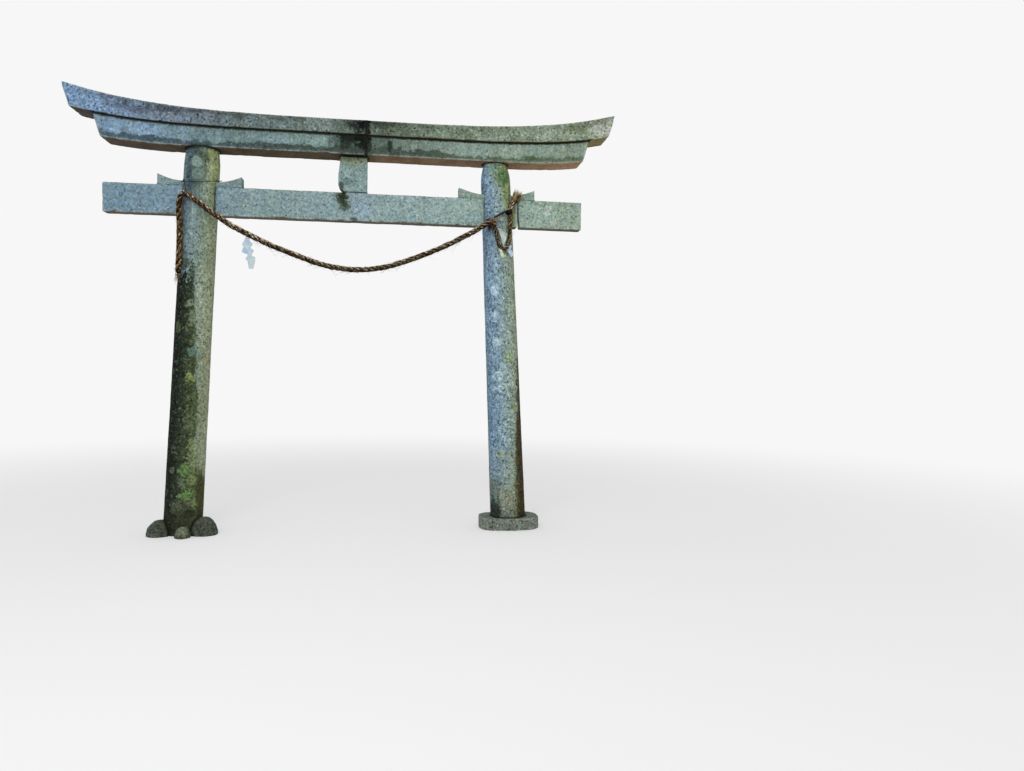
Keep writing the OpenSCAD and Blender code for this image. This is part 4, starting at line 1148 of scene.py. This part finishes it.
# Weathered granite, with painted shade and highlights in some stages. Each stage takes the colour so far and
# returns it with its own layer on top.
class Granite(Paint):
    def __init__(self, name, look):
        super().__init__(name)
        self.look = look
        self.shader.inputs["Specular IOR Level"].default_value = 0.06
        self.grain, self.grit, self.blotch, self.lobes, streaks = (
            self.noise(n) for n in ("grain", "grit", "blotches", "lobes", "streaks"))
        self.crystal = self.cells(cellSizes["crystal"])[1]
        # noises round 0 that break an edge up: widely, into flecks, into flecks and lobes, into streaks
        self.drift = self.minus(self.blotch, 0.5)
        self.flecks = self.level(self.grain, 0.32, 0.68, -0.5, 0.5)
        self.torn = self.plus(self.flecks, self.level(self.lobes, 0.32, 0.68, -0.5, 0.5), 0.8)
        self.streaky = self.plus(self.flecks, self.level(streaks, 0.34, 0.66, -0.5, 0.5), 1.2)
        # where the surface is: across the gate or round the pillar, at the back, upright, facing up or down
        if look.get("byFacing"):
            self.across = self.level(self.facing[0], -1, 1, 0, 1)
        else:
            self.across = self.level(self.x, -2.5, 2.5, 0, 1)
        self.back = self.step(self.facing[1], 0.1, 0.8)
        self.upright = self.step(self.maths("ABSOLUTE", self.facing[2]), 0.5, 0.2)
        self.upward = self.step(self.facing[2], 0.45, 0.9)
        self.under = self.step(self.facing[2], -0.35, -0.75)
        self.share = self.stored("share")
        self.crevice = self.stored("crevice")

    def noise(self, name):
        size, detail, roughness, *up = noises[name]
        return self.cloud(size, detail, roughness, self.stretched(*up) if up else None)

    def shakenCells(self, name):
        size, *shake = cellSizes[name]
        return self.cells(size, self.shaken(*shake))

    def ownColour(self):
        look = self.look
        wander = self.plus(self.across, self.drift, 0.16)
        if look.get("byFacing"):
            wander = self.plus(wander, self.torn, 0.10)
        # for the pillars the tones follow facing: a painted blue sky reflection on what faces left, and
        # painted light and shade across the pillar
        colour = self.tones(wander, look["tones"])
        # faces turned to the back get less of the painted blue sky reflection
        colour = self.over(colour, self.times(self.back, 0.6), self.tinted(colour, (1.12, 1.0, 0.84, 1)))
        cooler = self.step(self.noise("cool"), 0.40, 0.60)
        colour = self.tinted(colour, self.over((1.05, 1.0, 0.94, 1), cooler, (0.95, 1.0, 1.06, 1)))
        if "lowTint" in look:
            low, high, tint = look["lowTint"]
            low = self.broken(self.step(self.z, high, low), self.torn, 0.4, 0.0, 1.0)
            colour = self.over(colour, low, self.tinted(colour, shade(*tint)))
        clouded = self.step(self.noise("clouds"), 0.44, 0.64)
        clouded = self.times(self.broken(clouded, self.flecks, 0.7), look["blotch"])
        return self.over(colour, clouded, self.tinted(colour, shade(*tints["cloud"])))

    def crown(self, colour):
        # the top of a lintel's face weathers darker
        if "crown" not in self.look:
            return colour
        high = self.step(self.plus(self.share, self.drift, 1.8), 0.30, 0.95)
        high = self.broken(high, self.torn, 0.55)
        high = self.times(high, self.profile(self.x, self.look["crownAlong"]))
        return self.over(colour, high, self.tinted(colour, shade(*self.look["crown"])))

    def rain(self, colour):
        runs = self.times(self.step(self.noise("rain"), 0.50, 0.68), self.upright)
        return self.coat(colour, runs, 0.5 * self.look["streaks"], tints["rain"])

    def growthAndShade(self, colour):
        # a coat on one side of a pillar: growth, and low on the pillars also painted shade
        frayed = self.times(self.maths("ADD", self.torn, self.streaky), 0.55)
        for lee in self.look.get("lees", []):
            inside = self.minus(self.across, self.profile(self.z, lee["edge"]))
            inside = self.plus(self.times(inside, lee["side"]), self.drift, 0.25)
            soft = lee.get("soft", 0.11)
            cover = self.broken(self.step(inside, -soft, soft), frayed, 0.62)
            height = self.plus(self.z, frayed, lee.get("fray", 0.16))
            height = self.plus(height, self.back, lee.get("behind", 0.0))
            bottom, top = lee["height"]
            cover = self.times(cover, self.step(height, bottom - 0.1, bottom + 0.1),
                               self.step(height, top + 0.1, top - 0.1))
            tint = self.tones(self.across, lee["tints"])
            paler = self.broken(self.step(self.blotch, 0.35, 0.65), self.torn, 0.8)
            tint = self.over(tint, paler, self.tinted(tint, (1.5, 1.5, 1.5, 1)))
            flecked = self.step(self.grain, 0.55, 0.70)
            tint = self.coat(tint, flecked, lee.get("flecks", 0.15), tints["leeFleck"])
            colour = self.over(colour, self.times(cover, lee["strength"]), tint)
        return colour

    def lichens(self, colour):
        # pale round ones: scattered, and the listed discs and rings, where the stone's speckle is calmer
        amount = self.look["lichen"]
        if amount:
            far, pick = self.shakenCells("lichen")
            inside = self.minus(self.level(pick, 1 - amount, 1, 0.10, 0.24), far)
            inside = self.step(self.plus(inside, self.flecks, 0.10), 0.0, 0.08)
            picked = self.step(pick, 1 - amount, 1.01 - amount)
            paler = self.over(colour, 0.42, shade(*tints["lichen"]))
            colour = self.over(colour, self.times(picked, inside, 0.6), paler)
        self.flat = 0.0
        for kind in ("discs", "rings"):
            for centre, radius, tint in self.look.get(kind, []):
                far = self.plus(self.away(centre, (radius,) * 3), self.torn, 0.30)
                full = self.step(far, 1.12, 0.80)
                if kind == "rings":
                    rim = self.step(self.maths("ABSOLUTE", self.minus(far, 0.72)), 0.26, 0.12)
                    full = self.times(full, self.maths("MAXIMUM", rim, self.step(far, 0.34, 0.22)))
                self.flat = self.maths("MAXIMUM", self.flat, full)
                colour = self.coat(colour, full, 0.85, tint)
        return colour

    def dampEdgeAndLipShadow(self, colour):
        # the lower edge of the under lintel stays damp, with a wavy limit; along its top a dark line is
        # painted: the shadow of the top lintel's lip, with dark moss in it
        if "band" not in self.look:
            return colour
        waves = self.minus(self.profile(self.x, self.look["band"]), self.share)
        waves = self.plus(waves, self.minus(self.noise("waves"), 0.5), 0.7)
        damp = self.times(self.broken(self.step(waves, -0.14, 0.14), self.torn, 0.85), self.upright)
        mossy = self.tones(self.across, self.look["bandTones"])
        mossy = self.coat(mossy, self.step(self.lobes, 0.52, 0.68), 0.45, tints["damp"])
        colour = self.over(colour, self.times(damp, 0.9), mossy)
        drips = self.times(self.step(self.noise("drips"), 0.46, 0.62), self.step(self.share, 0.66, 0.98))
        colour = self.coat(colour, drips, 0.55, tints["drip"])
        # painted shadow of the top lintel's lip, with dark moss
        lipShadowAndMoss = self.step(self.plus(self.share, self.streaky, 0.05), 0.87, 0.95)
        return self.coat(colour, lipShadowAndMoss, self.profile(self.x, self.look["lipShadowAndMoss"]), tints["lipShadowAndMoss"])

    def undersideAndTop(self, colour):
        # undersides stay brown and dusty
        brown = shade(*self.look["soffit"])
        if "soffitRight" in self.look:
            brown = self.over(brown, self.profile(self.x, soffitAlong), shade(*self.look["soffitRight"]))
        dusty = self.tinted(brown, shade(*tints["brownDust"]))
        brown = self.over(brown, self.step(self.blotch, 0.42, 0.60), dusty)
        colour = self.over(colour, self.times(self.under, 0.94), brown)
        dust, strength = self.look.get("top", plainDust)
        return self.coat(colour, self.upward, strength, dust)

    def spots(self, colour):
        # stains break up at the edge, drips into upright streaks; tufts of moss and soot are mottled all over
        sooty = self.plus(self.torn, self.streaky, 0.6)
        for kind, noise, reach in (("stains", self.torn, 0.55), ("drips", self.streaky, 0.42),
                                   ("tufts", self.torn, 0.9), ("soot", sooty, 0.62)):
            for centre, radii, tint, strength in self.look.get(kind, []):
                far = self.away(centre, radii)
                patch = self.broken(self.step(far, 1.30, 0.20), noise, reach)
                if kind in ("tufts", "soot"):
                    patch = self.times(patch, self.step(far, 1.35, 1.05))
                colour = self.coat(colour, patch, strength, tint)
        return colour

    def dirtShadeAndHighlight(self, colour):
        # dirt and painted contact shade where stones meet, dirt near the ground, and pale arrises, partly
        # wear and partly a painted highlight
        start, full, strength = self.look["grimeAndShade"]
        # dirt and painted contact shade where stones meet
        grimeAndShade = self.step(self.plus(self.crevice, self.torn, 0.16), start, full)
        colour = self.coat(colour, grimeAndShade, strength, tints["grimeAndShade"])
        if "footDirt" in self.look:
            near = self.broken(self.step(self.z, 0.42, 0.02), self.torn, 0.5)
            colour = self.coat(colour, near, self.look["footDirt"], tints["footDirt"])
        # pale arrises: partly wear, partly a painted highlight
        arris = self.times(self.stored("arris"), self.step(self.lobes, 0.36, 0.56),
                           self.step(self.crevice, 0.5, 0.2))
        return self.coat(colour, arris, self.look["rim"], tints["arris"])

    def lit(self, light, mask, level):
        # a brightness that goes to level where the mask is
        return self.times(light, self.level(mask, 0, 1, 1, level))

    def speckle(self, colour):
        # crystals, dark and pale flecks and dots, and thin dark lines that wander like worm tracks
        amount = self.look["speckle"]
        light = self.level(self.grain, 0.32, 0.68, 1 - 0.40 * amount, 1 + 0.40 * amount)
        light = self.times(light, self.level(self.crystal, 0, 1, 0.88, 1.13))
        self.darkFleck = self.step(self.noise("darkFlecks"), 0.56, 0.66)
        light = self.lit(light, self.darkFleck, 1 - min(0.75, 0.42 * amount))
        paleFleck = self.step(self.noise("paleFlecks"), 0.58, 0.68)
        light = self.lit(light, paleFleck, 1 + 0.36 * amount)
        far, pick = self.shakenCells("dot")
        dot = self.times(self.step(far, 0.26, 0.12), self.step(pick, 0.70, 0.74))
        light = self.lit(light, dot, max(0.2, 1 - 0.6 * amount))
        track = self.step(self.maths("ABSOLUTE", self.minus(self.noise("tracks"), 0.5)), 0.030, 0.010)
        light = self.lit(light, self.times(track, self.look.get("worms", 0.15)), 0.35)
        calm = self.lit(self.level(self.under, 0, 1, 1, 0.55), self.flat, 0.70)
        return self.tinted(colour, self.plus(1, self.minus(light, 1), calm))

    def moss(self, colour):
        # tops gather moss
        start = 1.12 - 0.45 * self.look["moss"]
        patch = self.plus(self.plus(self.lobes, self.blotch, 0.8), self.flecks, 0.10)
        patch = self.times(self.step(patch, start - 0.03, start + 0.20), 0.85)
        self.cushion = self.times(self.upward, patch)
        green = self.over(shade(*tints["moss"]), self.step(self.grit, 0.4, 0.6), shade(*tints["mossTip"]))
        return self.over(colour, self.cushion, green)

    def weathered(self):
        colour = self.ownColour()
        for stage in (self.crown, self.rain, self.growthAndShade, self.lichens, self.dampEdgeAndLipShadow, self.undersideAndTop,
                      self.spots, self.dirtShadeAndHighlight, self.speckle, self.moss):
            colour = stage(colour)
        height = self.grain
        for layer, share in ((self.grit, 0.30), (self.crystal, 0.16), (self.cushion, 0.5),
                             (self.darkFleck, -0.25)):
            height = self.plus(height, layer, share)
        roughness = self.level(self.grain, 0.3, 0.7, 0.82, 0.95)
        return self.finish(colour, roughness, self.bump(height, relief))


def makeStones():
    trees = plantTrees()
    for name, look in looks.items():
        finish = Granite(name + "Granite", look).weathered()
        for node, kind in look["stones"].items():
            dressStone(node, kind, finish, trees)
    print("stones dressed")


# Folded paper: for each sheet the node it replaces, its flat size, what it hangs on and its rows from top to
# bottom, as x and z of the left edge and of the right edge
paper = {"thick": 0.0006, "fold": 0.005, "columns": 7, "rowsToAFold": 5}
papers = {
    "paper_streamer_folds": {
        "node": "paper_streamer", "flat": (0.07, 0.36), "held": "folded", "on": "straw_rope_strands",
        "finish": "blueWhitePaper",
        "rows": [(-0.934, 2.73, -0.9, 2.722), (-0.94, 2.688, -0.899, 2.683), (-0.949, 2.67, -0.895, 2.664),
                 (-0.967, 2.634, -0.87, 2.646), (-0.953, 2.618, -0.893, 2.605),
                 (-0.97, 2.565, -0.862, 2.584), (-0.915, 2.545, -0.883, 2.54),
                 (-0.937, 2.505, -0.85, 2.523), (-0.917, 2.485, -0.851, 2.483),
                 (-0.912, 2.454, -0.859, 2.45), (-0.907, 2.417, -0.867, 2.418)]},
    "loop_paper_sheet": {
        "node": "loop_paper", "flat": (0.048, 0.14), "held": "hung", "on": "rope_loop_strands",
        "finish": "greenWhitePaper",
        "rows": [(1.364, 2.862, 1.442, 2.818), (1.378, 2.818, 1.442, 2.801), (1.386, 2.796, 1.44, 2.777),
                 (1.395, 2.762, 1.434, 2.755), (1.4, 2.735, 1.424, 2.729), (1.412, 2.708, 1.418, 2.708)]},
    "scrap_left_sheet": {
        "node": "scrap_left", "flat": (0.028, 0.09), "held": "hung", "on": "rope_loop_strands",
        "finish": "yellowWhitePaper",
        "rows": [(1.366, 2.684, 1.394, 2.676), (1.377, 2.649, 1.405, 2.65), (1.388, 2.611, 1.421, 2.623),
                 (1.398, 2.586, 1.43, 2.602)]},
    "scrap_right_sheet": {
        "node": "scrap_right", "flat": (0.042, 0.1), "held": "hung", "on": "rope_loop_strands",
        "finish": "blueWhitePaper",
        "rows": [(1.472, 2.714, 1.494, 2.715), (1.466, 2.686, 1.488, 2.683), (1.449, 2.662, 1.496, 2.668),
                 (1.471, 2.635, 1.517, 2.634), (1.49, 2.606, 1.496, 2.606)]},
}

# Each paper's colour, and the colour of its creases and stains
paperTints = {"blueWhitePaper": ((192, 207, 208), (168, 189, 216)),
              "greenWhitePaper": ((200, 212, 204), (168, 186, 180)),
              "yellowWhitePaper": ((216, 220, 184), (176, 188, 150))}

# The string that the loop's paper hangs from
string = {"route": [(1.352, -0.212, 2.866), (1.382, -0.214, 2.850), (1.410, -0.212, 2.832),
                    (1.448, -0.196, 2.812)],
          "cord": {"diameter": 0.012, "strands": 2, "lay": 0.030, "rough": 0.10, "seed": 83}}


def paperFinish(name):
    pale, deep = paperTints[name]
    paint = Paint(name)
    crease = paint.cloud(0.045, 3, 0.55)
    fine = paint.cloud(0.002, 3, 0.6)
    colour = paint.over(shade(*pale), paint.step(crease, 0.42, 0.62), shade(*deep))
    colour = paint.coat(colour, paint.step(paint.cloud(0.012, 3, 0.7), 0.62, 0.75), 0.4, (140, 142, 124))
    return paint.finish(colour, 0.8, paint.bump(paint.maths("ADD", crease, fine), 0.0008))


def foldSheet(name, sheet, finish):
    # a strip between two edges, folded to and fro in depth
    low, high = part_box(sheet["node"])
    y = (low.y + high.y) / 2
    rows = np.array(sheet["rows"])
    across = paper["columns"]
    last = len(rows) - 2
    points = []
    for i in range(last + 1):
        for t in np.linspace(0, 1, paper["rowsToAFold"], endpoint=(i == last)):
            zig = paper["fold"] * (1 if i % 2 else -1) * (1 - abs(2 * t - 1))
            x, z, rightX, rightZ = rows[i] + (rows[i + 1] - rows[i]) * t
            points += [(x + (rightX - x) * s, y + zig * (1 - 0.6 * s), z + (rightZ - z) * s)
                       for s in np.linspace(0, 1, across)]
    faces = [(i * across + j, i * across + j + 1, (i + 1) * across + j + 1, (i + 1) * across + j)
             for i in range(len(points) // across - 1) for j in range(across - 1)]
    piece = linkPiece(name, points, faces, finish, [sheet["node"]], smooth=False)
    thick = piece.modifiers.new("paper thickness", "SOLIDIFY")
    thick.thickness = paper["thick"]
    thick.offset = 0
    return piece


def makePapers():
    finishes = {name: paperFinish(name) for name in paperTints}
    made = {name: foldSheet(name, sheet, finishes[sheet["finish"]]) for name, sheet in papers.items()}
    body = Tubes()
    layStrands(body, throughPoints(string["route"], 0.004), string["cord"], 8)
    return made, body.link("loop_paper_string", finishes["greenWhitePaper"], "folded_paper")


def makeFloor():
    # a pale floor that keeps the gate's shadow and fades into the backdrop further out
    paint = Paint("studioFloor")
    paint.finish(grey(studio["floorTone"]), studio["floorRoughness"])
    white = paint.node("Emission", {"Color": grey(studio["white"])})[0]
    near, far, least = studio["floorFade"]
    away = paint.node("VectorMath", [paint.place], operation="LENGTH")["Value"]
    fade = paint.level(paint.step(away, near, far), 0, 1, least, 1)
    fade = paint.times(fade, paint.node("LightPath")["Is Camera Ray"])
    blend = paint.node("MixShader", (fade, paint.shader.outputs[0], white))[0]
    paint.feed(paint.nodes["Material Output"].inputs["Surface"], blend)
    reach = studio["floorReach"]
    corners = [(-reach, -reach, 0), (reach, -reach, 0), (reach, reach, 0), (-reach, reach, 0)]
    mesh = bpy.data.meshes.new("floor")
    mesh.from_pydata(corners, [], [(0, 1, 2, 3)])
    mesh.materials.append(paint.material)
    floor = bpy.data.objects.new("floor", mesh)
    bpy.context.collection.objects.link(floor)


standCamera()
lightStudio()
makeFloor()
print("camera and studio ready")

finishes = {name: strawFinish(name) for name in straws}
ropes = makeRopes(finishes)
cordWrap = makeWrap(ropes["rope_loop"][2], finishes["darkHemp"])
lump, lumpStrays = makeLump(finishes["lumpStraw"])
makeTuft(finishes["raggedStraw"], finishes["bindingStraw"])
makeWire()
sheets, paperString = makePapers()
print("rope, cord and paper made")

makeStones()
